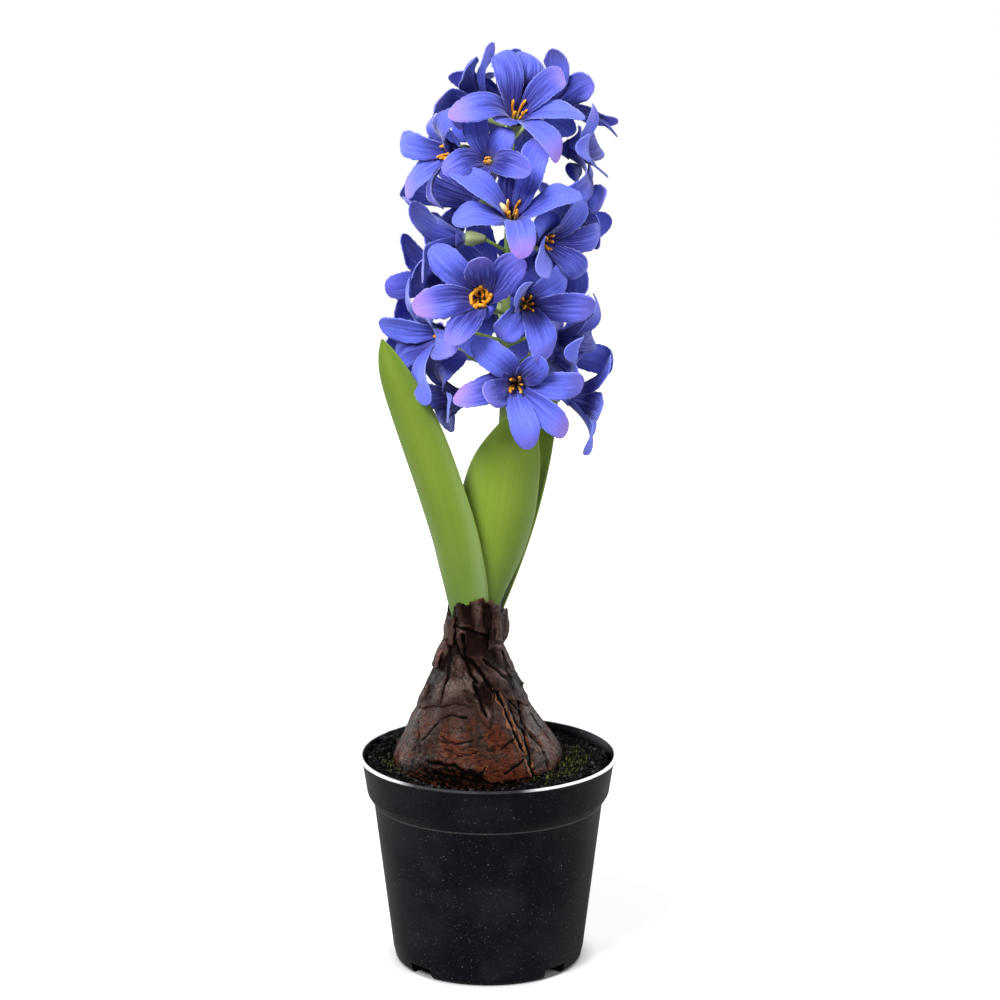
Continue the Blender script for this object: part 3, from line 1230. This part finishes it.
class HYACINTH_OT_bulb(bpy.types.Operator):
    """Turns the bulb and presses its creases in"""
    bl_idname = "hyacinth.bulb"
    bl_label = "Bulb"

    def execute(self, context):
        outside = [(radius, height) for height, radius in BULB_PROFILE if height < EVEN_ROWS_FROM]
        rows = 110
        for i in range(rows + 1):
            height = mix(EVEN_ROWS_FROM, NECK_TOP, i / rows)
            outside.append((bulb_radius(height), height))
        hollow = [(NECK_HOLLOW, NECK_TOP), (NECK_HOLLOW, NECK_FLOOR), (0, NECK_FLOOR)]
        bm = turned([(0, BULB_FOOT)] + outside + hollow, 300)
        crease = bm.verts.layers.float.new("crease")
        lip = bm.verts.layers.float.new("lip")
        soot = bm.verts.layers.float.new("soot")
        for vert in bm.verts:
            x, y, height = vert.co
            radius = hypot(x, y)
            if radius < NECK_HOLLOW + 0.1:
                continue
            angle = atan2(y, x)
            azimuth = azimuth_of(x, y)
            depth, near, orange = crease_at(BULB_CREASES, vert.co)
            fold, _ = facets(Vector((x, y, height * 0.6)), PEEL_FOLD)
            lumps = noise.fractal(Vector((x, y, height * 0.35)) * 0.3, 0.9, 2, 4)
            slant = Vector((x * 0.25, y * 0.25, height * 0.8 + 0.2 * x))
            visible = smooth((height - 60) / 8)
            rise = bulb_swell(angle, height) - depth
            rise += visible * (0.35 * fold + 0.16 * lumps)
            rise += visible * 0.16 * noise.fractal(slant * 0.6, 0.9, 2, 3)
            vert[crease] = near
            vert[lip] = orange
            front_left = smooth((azimuth + 75) / 30) * smooth((14 - azimuth) / 16)
            vert[soot] = max(front_left * smooth((79 - height) / 5), smooth((73.5 - height) / 3))
            grown = (radius + rise) / radius
            vert.co.x, vert.co.y = x * grown + lean(height), y * grown
        bmesh.ops.translate(bm, vec=(BULB_X, 0, 0), verts=bm.verts)
        finished(bm, "bulb_body", bulb_finish(context.scene.hyacinth_bulb), ["bulb"])
        return {"FINISHED"}


def add_flap(bm, azimuth, height, wide, tall, out, red, crease, ridge, rim):
    """A torn flap of skin on the neck: its middle's azimuth and foot, its size and how far it stands off."""
    made = bmesh.ops.create_grid(bm, x_segments=10, y_segments=12, size=0.5)["verts"]
    for vert in made:
        u, v = vert.co.x, vert.co.y + 0.5
        jag = 1.6 * noise.noise(Vector((azimuth, u * 6, v * 2)))
        level = height + v * (tall + jag)
        ragged = 1 + 0.35 * noise.noise(Vector((v * 5, azimuth, 7)))
        away = out * sin(pi * min(1, 0.85 * v + 0.1)) ** 0.8
        radius = bulb_radius(level) + SKIN_REST + 0.3 + away + 0.35 * noise.noise(vert.co * 5)
        turn = radians(azimuth) + u * ragged * wide * (1 - 0.25 * v) / radius
        vert.co = Vector((radius * sin(turn) + lean(level), -radius * cos(turn), level))
        vert[crease] = 0.4 * smooth((abs(u) - 0.3) / 0.2) + 0.4 * abs(noise.noise(vert.co * 0.8))
        vert[rim] = red
        vert[ridge] = 0.4 + 0.3 * noise.noise(vert.co * 0.4)


def skin_finish(settings):
    brown_cloud = (0.042, 0.02, 0.015)
    hollow = (0.006, 0.0028, 0.0022)
    red_foot = (0.045, 0.013, 0.007)
    torn_rim = (0.11, 0.034, 0.018)
    paper = Finish("papery_skin", Roughness=0.36, Specular_IOR_Level=0.14)
    spot = paper.place((1, 1, 1))
    clouds = paper.noise(paper.place((0.12, 0.12, 0.08)), 1, 4, 0.55)
    fibres = paper.noise(paper.place((1.1, 1.1, 0.16)), 1, 5, 0.65, 0.3)
    specks = paper.noise(spot, 1.7, 3, 0.7)
    folds = paper.cracks(paper.place((0.2, 0.2, 0.14)), 1.1, 0.06)
    wrinkles = paper.cracks(paper.place((0.5, 0.5, 0.32)), 1.0, 0.09)
    ridge = paper.value("ridge")
    base = paper.over(settings.skin, brown_cloud, clouds, 0.35, 0.65)
    base = paper.over(base, settings.skin_light, fibres, 0.5, 0.72, 0.4)
    base = paper.over(base, settings.dark, specks, 0.5, 0.68, 0.85)
    base = paper.over(base, settings.skin_light, ridge, 0.5, 0.9, 0.75)
    base = paper.over(base, hollow, ridge, 0.46, 0.16, 0.9)
    base = paper.over(base, settings.dark, fibres, 0.46, 0.36, 0.7)
    # The torn foot runs out into the bulb's own red brown
    low = paper.math("ADD", paper.axis(spot, "Z"), paper.math("MULTIPLY", clouds, 12))
    base = paper.over(base, red_foot, low, 104, 95, 0.75)
    rim = paper.math("MULTIPLY", paper.value("rim"), paper.span(clouds, 0.4, 0.6))
    base = paper.mixed(rim, base, torn_rim)
    ragged = paper.math("ADD", paper.value("crease"), paper.math("MULTIPLY", specks, 0.5))
    line = paper.math("MAXIMUM", paper.span(ragged, 0.6, 1.05), paper.math("MULTIPLY", folds, 0.3),
                      paper.math("MULTIPLY", wrinkles, 0.15))
    base = paper.mixed(line, base, settings.dark)
    dull = paper.math("MAXIMUM", line, paper.span(ridge, 0.6, 0.35), paper.span(specks, 0.48, 0.64))
    shine = paper.mixed(dull, (1, 0.93, 0.9), (0, 0, 0))
    rough = paper.span(specks, 0.35, 0.7, 0.28, 0.48)
    dents = paper.bump(wrinkles, -0.1, 0.8, paper.bump(folds, -0.22, 0.9))
    dents = paper.bump(fibres, 0.22, 0.7, dents)
    return paper.use(Base_Color=base, Roughness=rough, Specular_Tint=shine,
                     Normal=paper.bump(specks, 0.12, 0.6, dents))


class HYACINTH_OT_papery_skin(bpy.types.Operator):
    """Wraps the dry, torn, crumpled skin round the upper bulb and the neck"""
    bl_idname = "hyacinth.papery_skin"
    bl_label = "Papery skin"

    def execute(self, context):
        rows = 100
        bm = turned([(1, i / rows) for i in range(rows + 1)], 290, close=False)
        crease = bm.verts.layers.float.new("crease")
        ridge = bm.verts.layers.float.new("ridge")
        rim = bm.verts.layers.float.new("rim")
        for vert in bm.verts:
            x, y, share = vert.co
            angle = atan2(y, x)
            azimuth = azimuth_of(x, y)
            around = Vector((cos(angle), sin(angle), 0))
            foot = along(SKIN_FOOT, azimuth) + 0.9 * noise.noise(around * 9)
            top = along(SKIN_TOP, azimuth) + 0.9 * noise.noise(around * 4) + 0.5 * noise.noise(around * 11)
            height = mix(foot, top, share)
            radius = bulb_radius(height) + bulb_swell(angle, height) + SKIN_REST
            radius += 0.3 * smooth((height - NECK_TOP + 2) / 8)
            spot = Vector((radius * cos(angle), radius * sin(angle), height))
            depth, near, _ = crease_at(SKIN_CREASES, spot)
            spot.z *= 0.75
            broad, edge = facets(spot + Vector((0, 0, 40)), CRUMPLE)
            small, fine_edge = facets(spot, FINE_CRUMPLE)
            rise = 1.5 * broad + 0.5 * small - 1.2 * depth
            rise += 0.5 * sin(9 * angle + height * 0.12) * smooth((height - 104) / 12)
            rise = max(rise, -0.7) * smooth(share * 10 + 0.1)
            vert[crease] = max(near, 0.35 * edge, 0.25 * fine_edge)
            vert[ridge] = smooth((rise + 1.2) / 2.8)
            vert[rim] = 0.4 * (1 - smooth((1 - share) * 30))
            radius += rise - SKIN_REST * 0.6 * (1 - smooth(share * 6))
            vert.co = Vector((radius * cos(angle) + lean(height), radius * sin(angle), height))
        for flap in FLAPS:
            add_flap(bm, *flap, crease, ridge, rim)
        bmesh.ops.translate(bm, vec=(BULB_X, 0, 0), verts=bm.verts)
        settings = context.scene.hyacinth_bulb
        finished(bm, "papery_wrap", skin_finish(settings), ["papery_skin"],
                 lambda piece: thicken(piece, SKIN_THICKNESS * MM))
        return {"FINISHED"}


# Soil

def soil_height(x, y):
    """The uneven top of the soil."""
    broad = 0.5 * sin(x * 0.31 + 1) * cos(y * 0.27) + 0.35 * sin(x * 0.7 + y * 0.5)
    lumps = noise.fractal(Vector((x, y, 0)) * 0.5, 0.8, 2, 4)
    azimuth = azimuth_of(x, y)
    left = smooth((azimuth + 150) / 30) * smooth((-25 - azimuth) / 30)
    right = smooth((azimuth - 30) / 30) * smooth((115 - azimuth) / 20)
    heaped = (left + right) * smooth((hypot(x, y) - 33) / 7)
    sunk = smooth((32 - azimuth) / 15) * smooth((azimuth + 45) / 15)
    return SOIL_TOP - 1.1 + broad + 1.2 * lumps + 2 * heaped - 1.4 * sunk


def soil_spot(n):
    """A place on the open soil between the bulb and the pot, by a seeded draw."""
    turn = pi * draw(n)
    inner = bulb_radius(SOIL_TOP) - 0.5
    x0, y0 = BULB_X + inner * cos(turn), inner * sin(turn)
    outer = BAND_TOP_RADIUS - WALL - 1.2
    x1, y1 = outer * cos(turn), outer * sin(turn)
    share = (draw(n + 0.37) + 1) / 2
    return mix(x0, x1, share), mix(y0, y1, share)


def mossy(x, y):
    """How much moss grows at a place: some at the bulb's right and left foot, little elsewhere."""
    azimuth = azimuth_of(x - BULB_X, y)
    away = hypot(x - BULB_X, y) - bulb_radius(SOIL_TOP)
    right = smooth((azimuth - 35) / 15) * smooth((125 - azimuth) / 20)
    left = smooth((azimuth + 95) / 12) * smooth((-50 - azimuth) / 12)
    patchy = 0.5 + noise.noise(Vector((x, y, 9)) * 0.3)
    return min(1, max(0, max(right * smooth((13 - away) / 9), left * smooth((6 - away) / 4)) * patchy * 1.3))


def soil_finish(settings):
    black_clump = (0.0005, 0.0005, 0.0008)
    grey_fleck = (0.12, 0.118, 0.112)
    pale_crumb = (0.05, 0.049, 0.046)
    earth = Finish("soil", Roughness=0.5, Specular_IOR_Level=0.02)
    clumps = earth.noise(earth.place((0.7, 0.7, 0.7)), 1, 5, 0.7)
    flecks = earth.noise(earth.place((2.2, 2.2, 2.2)), 1, 3, 0.7)
    base = earth.over(black_clump, settings.body, clumps, 0.4, 0.7)
    base = earth.over(base, grey_fleck, flecks, 0.59, 0.67, 0.8)
    base = earth.mixed(earth.value("pale"), base, pale_crumb)
    green = earth.math("MULTIPLY", earth.span(flecks, 0.5, 0.6), earth.value("mossy"), 0.6)
    base = earth.mixed(green, base, settings.moss)
    rough = earth.span(clumps, 0.3, 0.7, 0.35, 0.75)
    return earth.use(Base_Color=base, Roughness=rough, Normal=earth.bump(clumps, 0.9, 1.0))


def moss_finish(settings):
    yellow_green = (0.13, 0.14, 0.02)
    moss = Finish("moss", Roughness=0.7, Specular_IOR_Level=0.3)
    clumps = moss.noise(moss.place((0.8, 0.8, 0.8)), 1, 3, 0.6)
    base = moss.over(settings.moss, yellow_green, clumps, 0.35, 0.65)
    return moss.use(Base_Color=base, Normal=moss.bump(clumps, 0.3, 0.6))


def soil_bed():
    """The soil that fills the pot, turned as one piece, with its top laid uneven."""
    wall = BAND_TOP_RADIUS - WALL - 0.6
    foot = [
        (0, SOIL_LOW), (FOOT_RADIUS - WALL - 0.4, SOIL_LOW), (WALL_TOP_RADIUS - WALL - 0.5, WALL_TOP_HEIGHT),
        (BAND_FOOT_RADIUS - WALL - 0.5, BAND_FOOT_HEIGHT + 0.6),
    ]
    rings = 54
    disc = [(wall * (1 - i / rings), SOIL_TOP - 1) for i in range(rings + 1)]
    bm = turned(foot + disc, 220)
    moss = bm.verts.layers.float.new("mossy")
    for vert in bm.verts:
        x, y, z = vert.co
        if z > SOIL_TOP - 2:
            level = smooth((wall + 0.2 - hypot(x, y)) / 1.5)
            vert.co.z = mix(SOIL_TOP - 1.2, soil_height(x, y), level)
        vert[moss] = mossy(x, y)
    return bm


def loose_crumbs(count):
    """Small uneven lumps strewn over the soil."""
    bm = bmesh.new()
    moss = bm.verts.layers.float.new("mossy")
    pale = bm.verts.layers.float.new("pale")
    for n in range(count):
        x, y = soil_spot(n * 1.7)
        size = 0.35 + 0.7 * ((draw(n * 2.3 + 5) + 1) / 2) ** 2.5
        if n % 40 == 0:
            x = HEAP_X + HEAP_SPREAD * draw(n + 1)
            y = HEAP_Y + HEAP_SPREAD * draw(n + 2)
            size = HEAP_CRUMB
        turn = Quaternion((draw(n), draw(n + 0.1), draw(n + 0.2)), pi * draw(n + 0.3))
        stretch = Vector((1, 0.75 + 0.2 * draw(n + 0.4), 0.7 + 0.25 * draw(n + 0.5))) * size
        place = Matrix.LocRotScale(Vector((x, y, soil_height(x, y) + 0.35 * size)), turn, stretch)
        for vert in bmesh.ops.create_icosphere(bm, subdivisions=1, radius=1, matrix=place)["verts"]:
            vert[pale] = max(0, draw(n + 0.6)) ** 3
    for vert in bm.verts:
        vert.co += noise.noise_vector(vert.co * 2.1) * 0.2
        vert[moss] = 0.6 * mossy(vert.co.x, vert.co.y)
    return bm


def moss_tufts(count):
    """Short leaning spikes at those of the places tried where moss grows."""
    bm = bmesh.new()
    for n in range(count):
        x, y = soil_spot(n * 0.91 + 40)
        if mossy(x, y) < 0.5 + 0.4 * draw(n + 0.8):
            continue
        size = 0.22 + 0.12 * draw(n + 0.6)
        tilt = Quaternion((draw(n), draw(n + 0.1), 0.2), 0.9 * draw(n + 0.3))
        place = Matrix.LocRotScale(Vector((x, y, soil_height(x, y) + 0.3)), tilt, Vector((size, size, 1)))
        bmesh.ops.create_cone(bm, cap_ends=True, segments=4, radius1=0.8, radius2=0.1, depth=1.5,
                              matrix=place)
    return bm


class HYACINTH_OT_soil(bpy.types.Operator):
    """Fills the pot with crumbly soil and sprinkles moss on it"""
    bl_idname = "hyacinth.soil"
    bl_label = "Soil"

    def execute(self, context):
        settings = context.scene.hyacinth_soil
        earth = soil_finish(settings)
        finished(soil_bed(), "soil_fill", earth, ["soil"])
        finished(loose_crumbs(settings.crumbs), "soil_crumbs", earth)
        finished(moss_tufts(settings.tufts), "moss", moss_finish(settings))
        return {"FINISHED"}


# Pot

def pot_profile():
    """The pot's section as radius and height, its edges rounded, from the floor's middle out and back."""
    top, lip = POT_HEIGHT, POT_HEIGHT - LIP_HEIGHT
    corner = 2.2
    profile = [(0, FLOOR_HEIGHT), (FOOT_RADIUS - WALL - 0.3, FLOOR_HEIGHT), (FOOT_RADIUS - WALL - 1.2, 0),
               (FOOT_RADIUS - corner + 0.2, 0)]
    for i in range(1, 7):
        turn = radians(15 * i - 90)
        profile.append((FOOT_RADIUS - corner + corner * cos(turn) + 0.2, corner * (1 + sin(turn))))
    foot, wall_rows = FOOT_RADIUS + 0.2, 8
    for i in range(1, wall_rows):
        height = mix(corner, WALL_TOP_HEIGHT - 0.4, (i / wall_rows) ** 1.5)
        profile.append((mix(foot, WALL_TOP_RADIUS, height / WALL_TOP_HEIGHT), height))
    profile += [
        (WALL_TOP_RADIUS - 0.05, WALL_TOP_HEIGHT - 0.4), (WALL_TOP_RADIUS + 0.3, WALL_TOP_HEIGHT + 0.1),
        (BAND_FOOT_RADIUS - 0.3, BAND_FOOT_HEIGHT - 0.6), (BAND_FOOT_RADIUS, BAND_FOOT_HEIGHT + 0.2),
        (BAND_TOP_RADIUS - 0.1, lip - 1.1), (BAND_TOP_RADIUS + 0.3, lip - 0.35),
        (RIM_RADIUS - 0.5, lip), (RIM_RADIUS - 0.1, lip + 0.2), (RIM_RADIUS, lip + 0.55),
        (RIM_RADIUS - 0.15, top - 0.25), (RIM_RADIUS - 0.6, top), (RIM_RADIUS - 1.5, top - 0.1),
        (BAND_TOP_RADIUS - WALL + 0.5, top - 1), (BAND_TOP_RADIUS - WALL, top - 2.2),
        (BAND_FOOT_RADIUS - WALL, BAND_FOOT_HEIGHT + 0.3), (WALL_TOP_RADIUS - WALL, WALL_TOP_HEIGHT + 0.3),
        (FOOT_RADIUS - WALL + 0.4, FLOOR_HEIGHT + 4 * WALL), (FOOT_RADIUS - WALL, FLOOR_HEIGHT + 2 * WALL),
        (FOOT_RADIUS - 2 * WALL, FLOOR_HEIGHT + WALL), (0, FLOOR_HEIGHT + WALL),
    ]
    return profile


def pot_finish(settings):
    grey_smear = (0.011, 0.011, 0.015)
    shaded_black = (0.0008, 0.0008, 0.001)
    plastic = Finish("pot_plastic", Roughness=0.34, Specular_IOR_Level=0.07)
    smears = plastic.noise(plastic.place((0.05, 0.05, 0.05)), 1, 4, 0.6)
    dots = plastic.noise(plastic.place((1.5, 1.5, 1.5)), 1, 2, 0.5)
    fine = plastic.noise(plastic.place((3.5, 3.5, 3.5)), 1, 2, 0.5)
    base = plastic.over(settings.body, grey_smear, smears, 0.4, 0.7, 0.8)
    specks = plastic.math("MULTIPLY", plastic.span(dots, 0.63, 0.72), plastic.span(fine, 0.52, 0.65))
    base = plastic.mixed(specks, base, settings.dust)
    # The lip's upper edge is worn bright, but for a stretch at its front and back
    spot = plastic.place()
    across = plastic.axis(spot, "X")
    up = plastic.axis(spot, "Z")
    flat = plastic.add("VectorMath", {0: spot, 1: (1, 1, 0)}, operation="MULTIPLY")
    radius = plastic.add("VectorMath", {0: flat}, output="Value", operation="LENGTH")
    sides = plastic.math("MAXIMUM", plastic.span(across, -24, -36, 0.03, 1.0),
                         plastic.span(across, 10, 20, 0.03, 1.0))
    worn = plastic.math("MULTIPLY", plastic.span(up, POT_HEIGHT - 0.75, POT_HEIGHT - 0.45),
                        plastic.span(radius, RIM_RADIUS - 1.5, RIM_RADIUS - 1.0), sides,
                        plastic.span(smears, 0.4, 0.6, 0.75, 1.0))
    base = plastic.mixed(worn, base, settings.worn)
    # Dust lies in the line where the band meets the wall
    off_line = plastic.math("ABSOLUTE", plastic.math("SUBTRACT", up, WALL_TOP_HEIGHT + 0.1))
    dusty = plastic.math("MULTIPLY", plastic.span(off_line, 0.1, 0.5, 0.45, 0.0),
                         plastic.span(fine, 0.3, 0.6))
    base = plastic.mixed(dusty, base, settings.dust)
    # The inside of the collar stays black, since little light reaches it
    slope = (BAND_TOP_RADIUS - BAND_FOOT_RADIUS) / (POT_HEIGHT - BAND_FOOT_HEIGHT)
    from_face = plastic.math("SUBTRACT", radius, plastic.math("MULTIPLY", up, slope))
    face = BAND_FOOT_RADIUS - slope * BAND_FOOT_HEIGHT
    inside = plastic.math("MULTIPLY", plastic.span(from_face, face - WALL * 0.5, face - WALL * 0.8),
                          plastic.span(up, BAND_FOOT_HEIGHT, BAND_FOOT_HEIGHT + 1))
    base = plastic.mixed(inside, base, shaded_black)
    shine = plastic.mixed(inside, (1, 1, 1), (0.05, 0.05, 0.05))
    # Where the lip isn't worn it shines less than the wall
    lip = plastic.span(up, POT_HEIGHT - LIP_HEIGHT - 0.6, POT_HEIGHT - LIP_HEIGHT)
    shine = plastic.mixed(plastic.math("SUBTRACT", lip, worn, clamp=True), shine, (0.4, 0.4, 0.4))
    rough = plastic.span(smears, 0.3, 0.7, 0.32, 0.46)
    return plastic.use(Base_Color=base, Roughness=rough, Specular_Tint=shine,
                       Normal=plastic.bump(fine, 0.02, 0.5))


class HYACINTH_OT_pot(bpy.types.Operator):
    """Moulds the thin pot and cuts the drain slots in its foot"""
    bl_idname = "hyacinth.pot"
    bl_label = "Pot"

    def execute(self, context):
        pot = finished(turned(pot_profile(), 192), "pot_shell", pot_finish(context.scene.hyacinth_pot),
                       ["pot"])
        inside = FOOT_RADIUS - WALL - 0.4
        inner = FOOT_RADIUS - DRAIN_REACH
        bm = bmesh.new()
        for i in range(DRAIN_COUNT):
            turn = Matrix.Rotation((i + 0.5) * tau / DRAIN_COUNT, 4, "Z")
            boxes = [
                (Vector((inner + 6, 0, (DRAIN_HEIGHT - 1) / 2)), Vector((12, DRAIN_WIDTH, DRAIN_HEIGHT + 1))),
                (Vector(((inside + inner) / 2, 0, 3)), Vector((inside - inner, DRAIN_WIDTH, 6))),
            ]
            for middle, size in boxes:
                bmesh.ops.create_cube(bm, size=1, matrix=turn @ Matrix.LocRotScale(middle, None, size))
        slots = bpy.data.objects.new("slots", as_mesh(bm, "slots"))
        context.scene.collection.objects.link(slots)
        cut = pot.modifiers.new("Slots", "BOOLEAN")
        cut.object = slots
        cut.use_self = True
        graph = context.evaluated_depsgraph_get()
        shaped = bpy.data.meshes.new_from_object(pot.evaluated_get(graph))
        shaped.set_sharp_from_angle(angle=radians(42))
        pot.modifiers.clear()
        pot.data = shaped
        bpy.data.objects.remove(slots)
        return {"FINISHED"}


# Studio

def add_light(name, at, aim, size, power, sheen_only):
    """A soft oblong light, unseen itself, turned to its aim."""
    lamp = bpy.data.lights.new(name, "AREA")
    lamp.shape = "RECTANGLE"
    lamp.size, lamp.size_y = size
    lamp.energy = power
    light = bpy.data.objects.new(name, lamp)
    light.location = at
    light.rotation_euler = (Vector(aim) - Vector(at)).to_track_quat("-Z", "Y").to_euler()
    light.visible_camera = False
    light.visible_diffuse = not sheen_only
    bpy.context.scene.collection.objects.link(light)


class HYACINTH_OT_stage(bpy.types.Operator):
    """Sets the pale floor, the soft studio light and the camera"""
    bl_idname = "hyacinth.stage"
    bl_label = "Studio"

    def execute(self, context):
        scene = context.scene
        settings = scene.hyacinth_studio
        bm = bmesh.new()
        bmesh.ops.create_grid(bm, x_segments=1, y_segments=1, size=FLOOR_REACH / MM)
        mesh = as_mesh(bm, "floor")
        # The white room is seen at full strength, but lights the plant softly
        paper = Finish("floor_paper", Base_Color=(0.35, 0.35, 0.35, 1), Roughness=0.8, Specular_IOR_Level=0.1,
                       Emission_Color=(1, 1, 1, 1))
        seen = paper.add("LightPath", output="Is Camera Ray")
        open_sky = paper.add("AmbientOcclusion", {"Distance": 6 * MM}, "AO", samples=8)
        # It stays dark under the pot, shades a little round it and runs into the white wall far off
        away = paper.add("VectorMath", {0: paper.place()}, output="Value", operation="LENGTH")
        glow = paper.math("MULTIPLY", seen, open_sky, paper.span(away, FOOT_RADIUS - 1, FOOT_RADIUS + 0.4),
                          paper.span(away, 40, 450, settings.floor_glow, 1.1))
        mesh.materials.append(paper.use(Emission_Strength=glow))
        ground = bpy.data.objects.new("floor", mesh)
        scene.collection.objects.link(ground)
        world = bpy.data.worlds.new("studio")
        world.use_nodes = True
        background = next(n for n in world.node_tree.nodes if n.type == "BACKGROUND")
        background.inputs["Color"].default_value = (1, 1, 1, 1)
        rays = world.node_tree.nodes.new("ShaderNodeLightPath")
        strength = world.node_tree.nodes.new("ShaderNodeMapRange")
        strength.inputs["To Min"].default_value = settings.sky
        strength.inputs["To Max"].default_value = 1.0
        world.node_tree.links.new(rays.outputs["Is Camera Ray"], strength.inputs["Value"])
        world.node_tree.links.new(strength.outputs[0], background.inputs["Strength"])
        scene.world = world
        for name, (at, aim, size, source, share, sheen_only) in LIGHTS.items():
            add_light(name, at, aim, size, getattr(settings, source) * share, sheen_only)
        lens = bpy.data.cameras.new("camera")
        lens.sensor_width = CAMERA_SENSOR
        lens.lens = CAMERA_LENS
        lens.clip_start = 0.01
        camera = bpy.data.objects.new("camera", lens)
        camera.location = CAMERA_AT
        camera.rotation_euler = (radians(90 - CAMERA_PITCH), 0, 0)
        scene.collection.objects.link(camera)
        scene.camera = camera
        scene.view_settings.view_transform = "Standard"
        return {"FINISHED"}


# Add-on

OPERATORS = (
    HYACINTH_OT_stage, HYACINTH_OT_pot, HYACINTH_OT_soil, HYACINTH_OT_bulb, HYACINTH_OT_papery_skin,
    HYACINTH_OT_leaves, HYACINTH_OT_stem, HYACINTH_OT_florets, HYACINTH_OT_stamens,
)


class HYACINTH_PT_pieces(bpy.types.Panel):
    """Lists the pieces of the hyacinth with their settings"""
    bl_idname = "HYACINTH_PT_pieces"
    bl_label = "Hyacinth"
    bl_space_type = "VIEW_3D"
    bl_region_type = "UI"
    bl_category = "Hyacinth"

    def draw(self, context):
        for operator in OPERATORS:
            self.layout.operator(operator.bl_idname)
        for name in GROUPS:
            box = self.layout.box()
            settings = getattr(context.scene, name)
            for key in settings.bl_rna.properties.keys():
                if key not in {"rna_type", "name"}:
                    box.prop(settings, key)


def register():
    for name, group in GROUPS.items():
        bpy.utils.register_class(group)
        setattr(bpy.types.Scene, name, PointerProperty(type=group))
    for made in (*OPERATORS, HYACINTH_PT_pieces):
        bpy.utils.register_class(made)


def unregister():
    for made in (HYACINTH_PT_pieces, *reversed(OPERATORS)):
        bpy.utils.unregister_class(made)
    for name, group in reversed(GROUPS.items()):
        delattr(bpy.types.Scene, name)
        bpy.utils.unregister_class(group)


def main():
    register()
    for operator in OPERATORS:
        family, action = operator.bl_idname.split(".")
        getattr(getattr(bpy.ops, family), action)()


if __name__ == "__main__":
    main()
